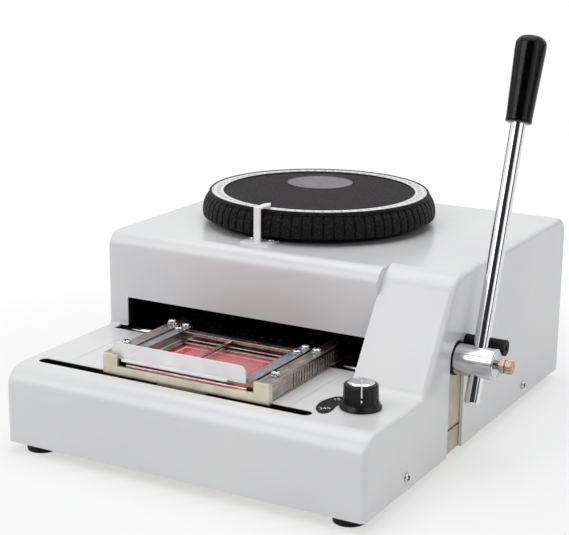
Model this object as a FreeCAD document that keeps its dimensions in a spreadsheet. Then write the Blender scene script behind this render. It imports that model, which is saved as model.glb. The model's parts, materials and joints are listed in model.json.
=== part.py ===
import FreeCAD, Part
import math
import os
import Sketcher
from FreeCAD import Base

# Manual plastic card embosser, in millimetres.
# The working frame of every sub-part is the housing's: x from the middle of the cover, to the
# operator's right; y from the cover's front face, backwards; z from the cover's lower edge, up.
# The node's Placement carries it to the part's own frame, whose origin is at the middle of the
# bottom of the whole part's box.

os.makedirs("parts", exist_ok=True)
doc = FreeCAD.newDocument("card_embosser")
sheet = doc.addObject("Spreadsheet::Sheet", "sizes")
nodes = []


class Size:
    """A length or angle that knows its number and the sheet expression behind it."""

    def __init__(self, number, text):
        self.number = number
        self.text = text

    def __add__(self, other):
        other = as_size(other)
        return Size(self.number + other.number, f"({self.text} + {other.text})")

    def __sub__(self, other):
        other = as_size(other)
        return Size(self.number - other.number, f"({self.text} - {other.text})")

    def __mul__(self, other):
        other = as_size(other)
        return Size(self.number * other.number, f"({self.text} * {other.text})")

    def __truediv__(self, other):
        other = as_size(other)
        return Size(self.number / other.number, f"({self.text} / {other.text})")

    def __radd__(self, other):
        return as_size(other) + self

    def __rsub__(self, other):
        return as_size(other) - self

    def __rmul__(self, other):
        return as_size(other) * self

    def __neg__(self):
        return Size(-self.number, f"(0 - {self.text})")


def as_size(value):
    if isinstance(value, Size):
        return value
    return Size(float(value), f"({float(value)!r})")


def size(name, number):
    """Write one driving dimension into the sheet."""
    size.row += 1
    sheet.set(f"A{size.row}", name)
    sheet.set(f"B{size.row}", str(number))
    sheet.setAlias(f"B{size.row}", name)
    return Size(float(number), f"sizes.{name}")


size.row = 0


def sine(angle):
    return Size(math.sin(math.radians(angle.number)), f"sin({angle.text})")


def cosine(angle):
    return Size(math.cos(math.radians(angle.number)), f"cos({angle.text})")


def root(value):
    return Size(math.sqrt(value.number), f"sqrt({value.text})")


def bearing_angle(across, up):
    """The angle of a direction above the +Y axis, in degrees."""
    return Size(math.degrees(math.atan2(up.number, across.number)), f"atan2({up.text}; {across.text})")


# Cover
cover_width = size("cover_width", 310)
cover_depth = size("cover_depth", 395)
table_height = size("table_height", 61)
cover_height = table_height + size("head_height", 80)
cover_wall = size("cover_wall", 2.5)
wall_front = size("wall_front", 136)
front_round = size("front_round", 18)
head_round = size("head_round", 14)
crease_round = size("crease_round", 3)
side_round = size("side_round", 4)
cheek_width = size("cheek_width", 60)
cheek_foot = size("cheek_foot", 96)
cheek_slope = size("cheek_slope", 0.687)
cheek_round = size("cheek_round", 24)
cheek_crease = size("cheek_crease", 10)
throat_margin = size("throat_margin", 19.7)
throat_top = table_height + size("throat_rise", 25.6)
rear_slot_margin = size("rear_slot_margin", 12)
rear_slot_front = size("rear_slot_front", 127)
front_slot_margin = size("front_slot_margin", 12.5)
front_slot_reach = size("front_slot_reach", 3.3)
front_slot_y = size("front_slot_y", 27.5)
front_slot_width = size("front_slot_width", 10)
panel_left = size("panel_left", 120)
panel_right = size("panel_right", 77)
panel_thick = size("panel_thick", 1.2)
panel_gap = size("panel_gap", 0.3)
hub_slot_half = size("hub_slot_half", 14.3)
housing_offset = size("housing_offset", 20.75)
foot_height = size("foot_height", 8)
foot_radius = size("foot_radius", 12)
foot_inset = size("foot_inset", 20)
foot_front_y = size("foot_front_y", 18)
foot_rear_y = size("foot_rear_y", 325)
screw_front_y = size("screw_front_y", 68)
screw_rear_y = size("screw_rear_y", 304)
screw_level = size("screw_level", 10.5)

# Base, press frame and shared clearances
running_gap = size("running_gap", 0.05)
free_gap = size("free_gap", 0.3)
pan_height = size("pan_height", 18)
pan_wall = size("pan_wall", 3)
frame_width = size("frame_width", 40)
lower_arm_top = table_height - size("lower_arm_drop", 25)
upper_arm_bottom = table_height + size("upper_arm_rise", 51)
upper_arm_top = table_height + size("upper_arm_reach", 75)
column_depth = size("column_depth", 16)
arm_nose = size("arm_nose", 16)
frame_fillet = size("frame_fillet", 12)

# Dial, spindle and type discs
dial_x = size("dial_x", -24)
dial_y = size("dial_y", 265.7)
spindle_radius = size("spindle_radius", 8)
spindle_bottom = table_height - size("spindle_drop", 41)
spindle_bush_radius = size("spindle_bush_radius", 12)
grip_radius = size("grip_radius", 100.5)
grip_top_radius = size("grip_top_radius", 94.5)
ring_radius = size("ring_radius", 92.6)
disc_radius = size("disc_radius", 82)
dial_base_radius = size("dial_base_radius", 88)
grip_bottom = cover_height + size("grip_rise", 6)
dial_top = cover_height + size("dial_rise", 26.7)
character_count = size("character_count", 72)
rib_depth = size("rib_depth", 1.6)
rib_gap = size("rib_gap", 1.8)
badge_radius = size("badge_radius", 28)
badge_x = size("badge_x", -15.5)
badge_y = size("badge_y", 31)
type_radius = size("type_radius", 95)
type_disc_radius = size("type_disc_radius", 101)
type_disc_thick = size("type_disc_thick", 10)
type_hub_radius = size("type_hub_radius", 22)
lower_disc_level = table_height - size("lower_disc_drop", 15)
upper_disc_level = table_height + size("upper_disc_rise", 22)
type_width = size("type_width", 3)
type_length = size("type_length", 7)
type_play = size("type_play", 0.1)
type_head_length = size("type_head_length", 9)
type_head_height = size("type_head_height", 3)
lower_type_bottom = table_height - size("lower_type_drop", 22)
lower_type_top = table_height
upper_type_bottom = table_height + size("upper_type_rise", 18)
upper_type_top = table_height + size("upper_type_reach", 36.5)
index_wheel_radius = size("index_wheel_radius", 60)
index_wheel_bottom = table_height + size("index_wheel_rise", 42)
index_wheel_thick = size("index_wheel_thick", 6)
index_notch = size("index_notch", 2.4)
index_arm_length = size("index_arm_length", 40)
index_roller_radius = size("index_roller_radius", 3.5)

# Lever, crank train, cam and ram
lever_y = size("lever_y", 156)
lever_z = table_height + size("lever_rise", 15)
lever_lean = size("lever_lean", 19)
lever_rod_out = size("lever_rod_out", 17)
lever_rod_radius = size("lever_rod_radius", 6)
lever_rod_below = size("lever_rod_below", 31.7)
lever_shaft_radius = size("lever_shaft_radius", 7)
hub_radius = size("hub_radius", 12)
hub_end = size("hub_end", 31)
grip_start = size("grip_start", 184.5)
grip_length = size("grip_length", 66)
grip_low_radius = size("grip_low_radius", 10)
grip_high_radius = size("grip_high_radius", 12)
clamp_neck_radius = size("clamp_neck_radius", 3.5)
clamp_head_radius = size("clamp_head_radius", 5.2)
clamp_neck_length = size("clamp_neck_length", 4)
clamp_head_length = size("clamp_head_length", 9)
bumper_radius = size("bumper_radius", 6.2)
bumper_rise = size("bumper_rise", 8.9)
bumper_out = size("bumper_out", 32.4)
crank_radius = size("crank_radius", 18)
crank_lean = size("crank_lean", 60)
crank_thick = size("crank_thick", 10)
crank_gap = size("crank_gap", 2)
crank_pin_radius = size("crank_pin_radius", 4)
link_thick = size("link_thick", 6)
block_gap = size("block_gap", 5.2)
block_thick = size("block_thick", 12)
side_plate_thick = size("side_plate_thick", 5)
cam_z = table_height + size("cam_rise", 63)
cam_shaft_radius = size("cam_shaft_radius", 6)
cam_base = size("cam_base", 8)
cam_lift = size("cam_lift", 3)
lever_swing = size("lever_swing", 70)
cam_width = size("cam_width", 12)
ram_radius = size("ram_radius", 6)
ram_head_radius = size("ram_head_radius", 8)
ram_head_height = size("ram_head_height", 3)
ram_bottom = table_height + size("ram_rise", 40)
guide_bottom = table_height + size("guide_rise", 41)
guide_floor = size("guide_floor", 3)
guide_radius = size("guide_radius", 13)
guide_bore = size("guide_bore", 9)
cam_gap = size("cam_gap", 0.1)

# Carriage and tray
rail_left = size("rail_left", -84)
rail_right = size("rail_right", 62)
rail_width = size("rail_width", 11)
rail_bottom = table_height + size("rail_rise", 1)
rail_height = size("rail_height", 14)
rail_front = size("rail_front", 31)
rail_rear = size("rail_rear", 160)
tail_height = size("tail_height", 10)
tail_rear = size("tail_rear", 238)
groove_depth = size("groove_depth", 4)
groove_rise = size("groove_rise", 2)
groove_height = size("groove_height", 3)
notch_pitch = size("notch_pitch", 4.233)
notch_start = size("notch_start", 66)
notch_count = size("notch_count", 16)
notch_depth = size("notch_depth", 1.2)
cross_left = size("cross_left", -81)
cross_right = size("cross_right", 64.5)
cross_thick = size("cross_thick", 2.5)
ear_top = table_height + size("ear_rise", 16)
ear_width = size("ear_width", 13)
flange_top = table_height + size("flange_rise", 7.3)
tongue_half = size("tongue_half", 21)
front_rod_y = size("front_rod_y", 36)
front_rod_z = table_height - size("front_rod_drop", 13)
front_rod_radius = size("front_rod_radius", 4)
rear_rod_y = size("rear_rod_y", 149)
rear_rod_z = table_height - size("rear_rod_drop", 7)
rear_rod_radius = size("rear_rod_radius", 5)
rod_margin = size("rod_margin", 46.2)
bracket_thick = size("bracket_thick", 8)
tray_rear = size("tray_rear", 125)
tray_thick = size("tray_thick", 2.4)
strip_top = table_height + size("strip_rise", 14)
strip_left_inner = size("strip_left_inner", -63.6)
strip_right_inner = size("strip_right_inner", 36.5)
strip_width = size("strip_width", 9)
card_width = size("card_width", 85.6)
card_depth = size("card_depth", 54)
card_thick = size("card_thick", 0.76)
card_corner = size("card_corner", 3.2)
card_left = size("card_left", -55.5)
card_front = size("card_front", 46)
pull_left = size("pull_left", -76.4)
pull_right = size("pull_right", 42)
pull_top = table_height + size("pull_rise", 24.3)
pull_bottom = table_height + size("pull_lip_rise", 11.5)
pull_thick = size("pull_thick", 1.5)
pull_y = size("pull_y", 31.2)
pull_flange = size("pull_flange", 4)
pull_flange_left = size("pull_flange_left", -65)
pull_flange_right = size("pull_flange_right", 28)
rack_pitch = size("rack_pitch", 2.54)
rack_height = size("rack_height", 5)

# Knob, label and pointer
knob_inset = size("knob_inset", 33)
knob_y = size("knob_y", 58)
knob_skirt_radius = size("knob_skirt_radius", 15.5)
knob_radius = size("knob_radius", 13.2)
knob_skirt_height = size("knob_skirt_height", 3.5)
knob_height = size("knob_height", 18)
knob_shaft_radius = size("knob_shaft_radius", 3)
pointer_middle = size("pointer_middle", -25.5)
pointer_width = size("pointer_width", 6)
pointer_thick = size("pointer_thick", 1.5)
pointer_top = cover_height + size("pointer_rise", 30)

# Screws
pan_head_radius = size("pan_head_radius", 3.5)
pan_head_height = size("pan_head_height", 2.5)
thread_radius = size("thread_radius", 2)

doc.recompute()

# Places worked out from the sizes
half_width = cover_width / 2
inner_side = half_width - cover_wall
cheek_left = half_width - cheek_width
throat_left = half_width - throat_margin
rear_slot_left = half_width - rear_slot_margin
front_slot_left = half_width - front_slot_margin
front_slot_right = cheek_left + front_slot_reach
foot_x = half_width - foot_inset
knob_x = half_width - knob_inset
emboss_y = dial_y - type_radius
cam_y = emboss_y
pan_side = inner_side - free_gap
block_x = pan_side - side_plate_thick - block_gap - block_thick
crank_x = block_x - crank_gap - crank_thick
rod_right = pan_side - rod_margin
hub_face = half_width + 0.5
lever_rod_x = half_width + lever_rod_out
bumper_end = half_width + bumper_out
column_front = dial_y + type_disc_radius + 4
column_rear = column_front + column_depth
tray_floor = rail_bottom + groove_rise + free_gap
tray_top = tray_floor + tray_thick
tray_front = pull_y + pull_thick
rail_top = rail_bottom + rail_height
bumper_z = lever_z + bumper_rise
bumper_reach = lever_rod_radius + bumper_radius + free_gap
bumper_y = lever_y + (bumper_reach + bumper_rise * sine(lever_lean)) / cosine(lever_lean)


def bind(obj, name, value):
    obj.setExpression(name, as_size(value).text)


def locate(obj, x, y, z):
    bind(obj, "Placement.Base.x", x)
    bind(obj, "Placement.Base.y", y)
    bind(obj, "Placement.Base.z", z)


def box(name, x, y, z):
    """A block between two places on each axis."""
    block = doc.addObject("Part::Box", name)
    bind(block, "Length", x[1] - as_size(x[0]))
    bind(block, "Width", y[1] - as_size(y[0]))
    bind(block, "Height", z[1] - as_size(z[0]))
    locate(block, x[0], y[0], z[0])
    return block


TURNS = {
    "x": FreeCAD.Rotation(FreeCAD.Vector(0, 1, 0), 90),
    "y": FreeCAD.Rotation(FreeCAD.Vector(1, 0, 0), -90),
    "z": FreeCAD.Rotation(),
}


def set_along(obj, axis, centre, start):
    """Turn a z-wise primitive to an axis; centre is its place on the other two axes, in order."""
    obj.Placement = FreeCAD.Placement(FreeCAD.Vector(), TURNS[axis])
    place = list(centre)
    place.insert("xyz".index(axis), start)
    locate(obj, *place)


def cylinder(name, axis, centre, span, radius):
    bar = doc.addObject("Part::Cylinder", name)
    bind(bar, "Radius", radius)
    bind(bar, "Height", span[1] - as_size(span[0]))
    set_along(bar, axis, centre, span[0])
    return bar


def cone(name, axis, centre, span, start_radius, end_radius):
    taper = doc.addObject("Part::Cone", name)
    bind(taper, "Radius1", start_radius)
    bind(taper, "Radius2", end_radius)
    bind(taper, "Height", span[1] - as_size(span[0]))
    set_along(taper, axis, centre, span[0])
    return taper


def fuse(name, *shapes):
    if len(shapes) == 1:
        return shapes[0]
    joined = doc.addObject("Part::MultiFuse", name)
    joined.Shapes = list(shapes)
    return joined


def cut(name, base, *tools):
    result = doc.addObject("Part::Cut", name)
    result.Base = base
    result.Tool = fuse(name + "_tools", *tools)
    return result


def node(obj, label, x=0, y=0, z=0):
    """Name a finished sub-part and carry it from the housing's frame to the part's frame."""
    if obj.TypeId in ("Part::Box", "Part::Cylinder"):
        single = obj
        obj = doc.addObject("Part::Compound", single.Name + "_piece")
        obj.Links = [single]
    obj.Label = label
    locate(obj, x - housing_offset, y - cover_depth / 2, z + foot_height)
    nodes.append(obj)
    return obj


def turned_node(obj, label, angle, backwards, x, y, z):
    """A node that is built about its own axis along X and leans by an angle at rest."""
    axis = FreeCAD.Vector(-1 if backwards else 1, 0, 0)
    obj.Placement = FreeCAD.Placement(FreeCAD.Vector(), FreeCAD.Rotation(axis, 10))
    bind(obj, "Placement.Rotation.Angle", angle)
    return node(obj, label, x, y, z)


def new_body(name):
    return doc.addObject("PartDesign::Body", name)


def plane(body, role):
    return [item for item in body.Origin.OriginFeatures if item.Role == role][0]


def sketch_on(body, name, role, offset=0):
    drawing = body.newObject("Sketcher::SketchObject", name)
    drawing.AttachmentSupport = (plane(body, role), "")
    drawing.MapMode = "FlatFace"
    bind(drawing, "AttachmentOffset.Base.z", offset)
    return drawing


def fix_point(drawing, line, end, across, up):
    for kind, value in (("DistanceX", across), ("DistanceY", up)):
        value = as_size(value)
        index = drawing.addConstraint(Sketcher.Constraint(kind, -1, 1, line, end, value.number))
        drawing.setExpression(f"Constraints[{index}]", value.text)


def outline(drawing, points):
    """A closed polygon whose corners are held at sheet-driven places."""
    corners = [FreeCAD.Vector(as_size(a).number, as_size(b).number, 0) for a, b in points]
    first = drawing.GeometryCount
    count = len(points)
    for step in range(count):
        drawing.addGeometry(Part.LineSegment(corners[step], corners[(step + 1) % count]), False)
    for step in range(count):
        after = first + (step + 1) % count
        drawing.addConstraint(Sketcher.Constraint("Coincident", first + step, 2, after, 1))
    for step, (across, up) in enumerate(points):
        fix_point(drawing, first + step, 1, across, up)


def circle(drawing, across, up, radius):
    middle = FreeCAD.Vector(as_size(across).number, as_size(up).number, 0)
    radius = as_size(radius)
    ring = drawing.addGeometry(Part.Circle(middle, FreeCAD.Vector(0, 0, 1), radius.number), False)
    fix_point(drawing, ring, 3, across, up)
    index = drawing.addConstraint(Sketcher.Constraint("Radius", ring, radius.number))
    drawing.setExpression(f"Constraints[{index}]", radius.text)


def rectangle(drawing, across, up):
    low, high = across
    bottom, top = up
    outline(drawing, [(low, bottom), (high, bottom), (high, top), (low, top)])


def pad(body, drawing, length, middle=False, backwards=False):
    feature = body.newObject("PartDesign::Pad", drawing.Name + "_pad")
    feature.Profile = drawing
    bind(feature, "Length", length)
    feature.Midplane = middle
    feature.Reversed = backwards
    doc.recompute()
    return feature


def pocket(body, drawing, length, middle=False, backwards=False):
    """Cut a sketch into the body and make sure that it removed something."""
    before = body.Shape.Volume
    feature = body.newObject("PartDesign::Pocket", drawing.Name + "_pocket")
    feature.Profile = drawing
    bind(feature, "Length", length)
    feature.Midplane = middle
    feature.Reversed = backwards
    doc.recompute()
    if body.Shape.Volume >= before:
        raise RuntimeError(drawing.Name + " cuts nothing")
    return feature


def revolve(body, drawing, axis):
    feature = body.newObject("PartDesign::Revolution", drawing.Name + "_revolution")
    feature.Profile = drawing
    feature.ReferenceAxis = (drawing, [axis])
    feature.Angle = 360
    doc.recompute()
    return feature


def around(body, feature, count):
    """Repeat a feature evenly about the body's own Z axis."""
    pattern = body.newObject("PartDesign::PolarPattern", feature.Name + "_around")
    pattern.Originals = [feature]
    pattern.Axis = (plane(body, "Z_Axis"), [""])
    pattern.Angle = 360
    bind(pattern, "Occurrences", count)
    body.Tip = pattern
    doc.recompute()
    return pattern


def along(body, feature, role, count, pitch):
    pattern = body.newObject("PartDesign::LinearPattern", feature.Name + "_along")
    pattern.Originals = [feature]
    pattern.Direction = (plane(body, role), [""])
    bind(pattern, "Occurrences", count)
    bind(pattern, "Length", pitch * (count - 1))
    body.Tip = pattern
    doc.recompute()
    return pattern


def edges_in(shape, low, high):
    """Names of the edges whose box lies inside a box; None leaves that side open."""
    names = []
    for index, edge in enumerate(shape.Edges, 1):
        bounds = edge.BoundBox
        least = (bounds.XMin, bounds.YMin, bounds.ZMin)
        most = (bounds.XMax, bounds.YMax, bounds.ZMax)
        inside = all(a is None or b >= as_size(a).number - 0.01 for a, b in zip(low, least))
        inside = inside and all(a is None or b <= as_size(a).number + 0.01 for a, b in zip(high, most))
        if inside:
            names.append(f"Edge{index}")
    return names


def fillet(body, radius, low, high):
    names = edges_in(body.Tip.Shape, low, high)
    if not names:
        raise RuntimeError(body.Name + " has no edge to round there")
    base = body.Tip
    feature = body.newObject("PartDesign::Fillet", f"{body.Name}_round_{len(body.Group)}")
    feature.Base = (base, names)
    bind(feature, "Radius", radius)
    doc.recompute()
    return feature


def pan_screw(name, axis, centre, seat, outward, shank):
    """A pan-head screw: its head stands on the seat and its shank goes in the other way."""
    if outward > 0:
        head = cone(name + "_head", axis, centre, (seat, seat + pan_head_height),
                    pan_head_radius, pan_head_radius * 0.75)
        drive = cylinder(name + "_drive", axis, centre,
                         (seat + pan_head_height * 0.6, seat + pan_head_height * 1.1), thread_radius * 0.6)
        stem = cylinder(name + "_stem", axis, centre, (seat - shank, seat), thread_radius)
    else:
        head = cone(name + "_head", axis, centre, (seat - pan_head_height, seat),
                    pan_head_radius * 0.75, pan_head_radius)
        drive = cylinder(name + "_drive", axis, centre,
                         (seat - pan_head_height * 1.1, seat - pan_head_height * 0.6), thread_radius * 0.6)
        stem = cylinder(name + "_stem", axis, centre, (seat, seat + shank), thread_radius)
    return cut(name, fuse(name + "_blank", head, stem), drive)


FOOT_SIDES = (-1, 1)


# Cover shell
def cheek_y(level, inset):
    """Where the sloped cheek's surface, moved inwards by inset, stands at a level."""
    thickness = inset * root(1 + cheek_slope * cheek_slope)
    return cheek_foot + cheek_slope * (level - table_height) + thickness


def housing_section(inset, kind):
    """The housing's side outline: stepped, sloped at the cheek, or what the two share."""
    front = as_size(inset)
    back = cover_depth - inset
    floor = -side_round - 1
    table = table_height - inset
    head = cover_height - inset
    wall = wall_front + inset
    slope_top = cheek_y(head, inset)
    if kind == "stepped":
        middle = [(wall, table), (wall, head)]
    elif kind == "sloped":
        middle = [(cheek_y(table, inset), table), (slope_top, head)]
    else:
        meeting = table_height + (wall - cheek_y(table_height, inset)) / cheek_slope
        middle = [(wall, table), (wall, meeting), (slope_top, head)]
    return [(front, floor), (front, table)] + middle + [(back, head), (back, floor)]


def housing_block(name, kind, inset, span, rounded_side):
    """One stretch of the housing along X, with its long edges and one end rounded."""
    body = new_body(name)
    drawing = sketch_on(body, name + "_section", "YZ_Plane", span[0])
    points = housing_section(inset, kind)
    outline(drawing, points)
    pad(body, drawing, span[1] - as_size(span[0]))
    inset = as_size(inset)
    floor = -side_round - 1
    rounds = [(1, front_round - inset), (len(points) - 2, head_round - inset)]
    if kind == "stepped":
        rounds += [(2, crease_round + inset), (3, head_round - inset)]
    if kind == "sloped":
        rounds += [(2, cheek_crease + inset), (3, cheek_round - inset)]
    if kind == "shared":
        rounds += [(4, cheek_round - inset)]
    for index, radius in rounds:
        y, z = points[index]
        fillet(body, radius, (None, y, z), (None, y, z))
    if rounded_side is not None:
        fillet(body, side_round - inset, (rounded_side, None, floor), (rounded_side, None, None))
    return body


def slot_cutter(name, left, right, centre_y, width, floor, top):
    half = width / 2
    middle = box(name + "_middle", (left + half, right - half), (centre_y - half, centre_y + half), (floor, top))
    first = cylinder(name + "_left", "z", (left + half, centre_y), (floor, top), half)
    last = cylinder(name + "_right", "z", (right - half, centre_y), (floor, top), half)
    return fuse(name, middle, first, last)


def build_cover():
    wall = cover_wall
    outer_left = housing_block("outer_step", "stepped", 0, (-half_width, cheek_left), -half_width)
    outer_right = housing_block("outer_cheek", "sloped", 0, (cheek_left, half_width), half_width)
    inner_left = housing_block("inner_step", "stepped", wall, (-inner_side, cheek_left - wall), -inner_side)
    inner_middle = housing_block("inner_joint", "shared", wall, (cheek_left - wall, cheek_left + wall), None)
    inner_right = housing_block("inner_cheek", "sloped", wall, (cheek_left + wall, inner_side), inner_side)
    under = table_height - wall - 1
    over = table_height + 1
    throat = box("throat", (-throat_left, cheek_left), (wall_front - 1, wall_front + wall + 1), (under, throat_top))
    rear_slot = box("rear_slot", (-rear_slot_left, cheek_left), (rear_slot_front, wall_front + wall + 1),
                    (under, over))
    front_slot = slot_cutter("front_slot", -front_slot_left, front_slot_right, front_slot_y,
                             front_slot_width, under, over)
    front_slot_rear = front_slot_y + front_slot_width / 2
    recess = box("panel_recess", (-panel_left - panel_gap, panel_right + panel_gap),
                 (front_slot_rear - 1, rear_slot_front + 1), (table_height - panel_thick, over))
    side = (inner_side - 1, half_width + 1)
    hub_slot = box("hub_slot", side, (lever_y - hub_slot_half, lever_y + hub_slot_half), (-wall, lever_z))
    hub_arch = cylinder("hub_arch", "x", (lever_y, lever_z), side, hub_slot_half)
    stop_hole = cylinder("stop_hole", "x", (bumper_y, bumper_z), side, bumper_radius + free_gap)
    dial_hole = cylinder("dial_hole", "z", (dial_x, dial_y), (cover_height - wall - 1, cover_height + 1),
                         spindle_radius + 6)
    knob_hole = cylinder("knob_hole", "z", (knob_x, knob_y), (under, over), knob_shaft_radius + 2)
    screw_holes = [cylinder(f"pointer_tap_{side + 1}", "z", (pointer_x(side), pointer_screw_y()),
                            (cover_height - cover_wall - 1, cover_height + 1), thread_radius)
                   for side in FOOT_SIDES]
    for end, y in enumerate((screw_front_y, screw_rear_y)):
        span = (-half_width - 1, half_width + 1)
        hole = cylinder(f"screw_hole_{end}", "x", (y, screw_level), span, thread_radius + 0.1)
        screw_holes.append(hole)
    below = box("below_cover", (-half_width - 1, half_width + 1), (-1, cover_depth + 1), (-side_round - 2, 0))
    cover = cut("cover", fuse("cover_outer", outer_left, outer_right), below, inner_left, inner_middle, inner_right,
                throat, rear_slot, front_slot, recess, hub_slot, hub_arch, stop_hole, dial_hole, knob_hole,
                *screw_holes)
    node(cover, "cover_shell")


def build_table_panel():
    front = front_slot_y + front_slot_width / 2
    plate = box("panel_plate", (-panel_left, panel_right), (front, rear_slot_front),
                (table_height - panel_thick, table_height))
    node(plate, "table_panel")


# Base
def foot_places():
    return [(side * foot_x, y) for side in FOOT_SIDES for y in (foot_front_y, foot_rear_y)]


def build_base():
    front = cover_wall + free_gap
    rear = cover_depth - cover_wall - free_gap
    body = new_body("pan")
    outer = sketch_on(body, "pan_outline", "XY_Plane")
    rectangle(outer, (-pan_side, pan_side), (front, rear))
    pad(body, outer, pan_height)
    for x in (-pan_side, pan_side):
        for y in (front, rear):
            fillet(body, side_round, (x, y, None), (x, y, None))
    hollow = sketch_on(body, "pan_hollow", "XY_Plane", pan_height)
    rectangle(hollow, (-pan_side + pan_wall, pan_side - pan_wall), (front + pan_wall, rear - pan_wall))
    pocket(body, hollow, pan_height - pan_wall)
    holes = sketch_on(body, "foot_holes", "XY_Plane", pan_wall)
    for x, y in foot_places():
        circle(holes, x, y, thread_radius + 0.5)
    pocket(body, holes, pan_wall + 1)
    taps = sketch_on(body, "cover_taps", "YZ_Plane")
    for y in (screw_front_y, screw_rear_y):
        circle(taps, y, screw_level, thread_radius)
    pocket(body, taps, cover_width, middle=True)
    node(body, "base_pan")

    feet = []
    screws = []
    for index, (x, y) in enumerate(foot_places()):
        tread = cone(f"foot_{index}_body", "z", (x, y), (-foot_height, 0), foot_radius, foot_radius + 1)
        well = cylinder(f"foot_{index}_well", "z", (x, y), (-foot_height - 1, -3), thread_radius + 3.5)
        hole = cylinder(f"foot_{index}_hole", "z", (x, y), (-4, 1), thread_radius + 0.5)
        feet.append(cut(f"foot_{index}", tread, well, hole))
        head = cylinder(f"foot_screw_{index}_head", "z", (x, y), (-5, -3), thread_radius + 2.5)
        stem = cylinder(f"foot_screw_{index}_stem", "z", (x, y), (-3, pan_wall + 4), thread_radius + 0.5)
        nut = doc.addObject("Part::Prism", f"foot_screw_{index}_nut")
        nut.Polygon = 6
        bind(nut, "Circumradius", thread_radius + 3)
        bind(nut, "Height", 3)
        locate(nut, x, y, pan_wall)
        screws.append(fuse(f"foot_screw_{index}", head, stem, nut))
    node(fuse("feet", *feet), "rubber_feet")

    for index, (across, y) in enumerate(frame_bolt_places()):
        stem = cylinder(f"frame_bolt_{index}_stem", "z", (across, y), (pan_wall, pan_wall + 8), 3)
        head = cylinder(f"frame_bolt_{index}_head", "z", (across, y), (pan_wall + 8, pan_wall + 13), 5)
        socket = cylinder(f"frame_bolt_{index}_socket", "z", (across, y), (pan_wall + 10, pan_wall + 14), 2.5)
        screws.append(cut(f"frame_bolt_{index}", fuse(f"frame_bolt_{index}_blank", stem, head), socket))
    node(fuse("base_screw_set", *screws), "base_screws")


def frame_bolt_places():
    offset = frame_width / 2 + 12
    return [(dial_x + side * offset, y) for side in FOOT_SIDES for y in (emboss_y + 10, column_rear - 12)]


def build_pan_screws():
    screws = []
    for end, y in enumerate((screw_front_y, screw_rear_y)):
        screws.append(pan_screw(f"cover_screw_right_{end}", "x", (y, screw_level), half_width, 1, cover_wall + 4))
        screws.append(pan_screw(f"cover_screw_left_{end}", "x", (y, screw_level), -half_width, -1, cover_wall + 4))
    for side in FOOT_SIDES:
        place = (pointer_x(side), pointer_screw_y())
        screws.append(pan_screw(f"pointer_screw_{side + 1}", "z", place, cover_height + pointer_thick, 1,
                                pointer_thick + cover_wall))
    node(fuse("pan_screw_set", *screws), "pan_screws")


# Press frame
def build_press_frame():
    body = new_body("c_frame")
    drawing = sketch_on(body, "c_section", "YZ_Plane")
    nose = emboss_y - arm_nose
    points = [
        (nose, pan_wall), (column_rear, pan_wall), (column_rear, upper_arm_top), (nose, upper_arm_top),
        (nose, upper_arm_bottom), (column_front, upper_arm_bottom), (column_front, lower_arm_top),
        (nose, lower_arm_top),
    ]
    outline(drawing, points)
    pad(body, drawing, frame_width, middle=True)
    reach = (None, column_front, lower_arm_top)
    fillet(body, 4, (None, nose, upper_arm_top), (None, nose, upper_arm_top))
    foot = sketch_on(body, "foot_plate", "XY_Plane", pan_wall)
    wide = frame_width / 2 + 20
    rectangle(foot, (-wide, wide), (nose, column_rear))
    pad(body, foot, 8)
    bores = sketch_on(body, "frame_bores", "XY_Plane", upper_arm_top)
    circle(bores, 0, dial_y, spindle_bush_radius)
    pocket(body, bores, upper_arm_top - spindle_bottom)
    cam_room = sketch_on(body, "cam_room", "XY_Plane", upper_arm_top)
    rectangle(cam_room, (-cam_width / 2 - 3.5, cam_width / 2 + 3.5), (emboss_y - 13, emboss_y + 13))
    pocket(body, cam_room, upper_arm_top - upper_arm_bottom)
    shaft = sketch_on(body, "cam_shaft_bore", "YZ_Plane")
    circle(shaft, cam_y, cam_z, cam_shaft_radius + running_gap)
    pocket(body, shaft, frame_width + 2, middle=True)
    bolts = sketch_on(body, "frame_bolt_holes", "XY_Plane", pan_wall + 8)
    for across, y in frame_bolt_places():
        circle(bolts, across - dial_x, y, 3)
    pocket(body, bolts, 8)
    lug = sketch_on(body, "index_lug", "XY_Plane", upper_arm_bottom)
    rectangle(lug, (frame_width / 2 - 1, index_pivot_x() - dial_x + 8), (index_pivot_y() - 9, index_pivot_y() + 9))
    pad(body, lug, 8)
    pivot = sketch_on(body, "index_pivot", "XY_Plane", upper_arm_bottom)
    circle(pivot, index_pivot_x() - dial_x, index_pivot_y(), 3)
    pad(body, pivot, upper_arm_bottom - index_wheel_bottom, backwards=True)
    node(body, "press_frame", x=dial_x)

    top = lower_type_bottom - free_gap
    anvil = box("anvil", (dial_x - 9, dial_x + 9), (emboss_y - 7, emboss_y + 7), (lower_arm_top, top))
    node(anvil, "anvil_block")


def index_pivot_x():
    return dial_x + index_arm_length


def index_pivot_y():
    return dial_y - index_wheel_radius - index_roller_radius - free_gap


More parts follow.
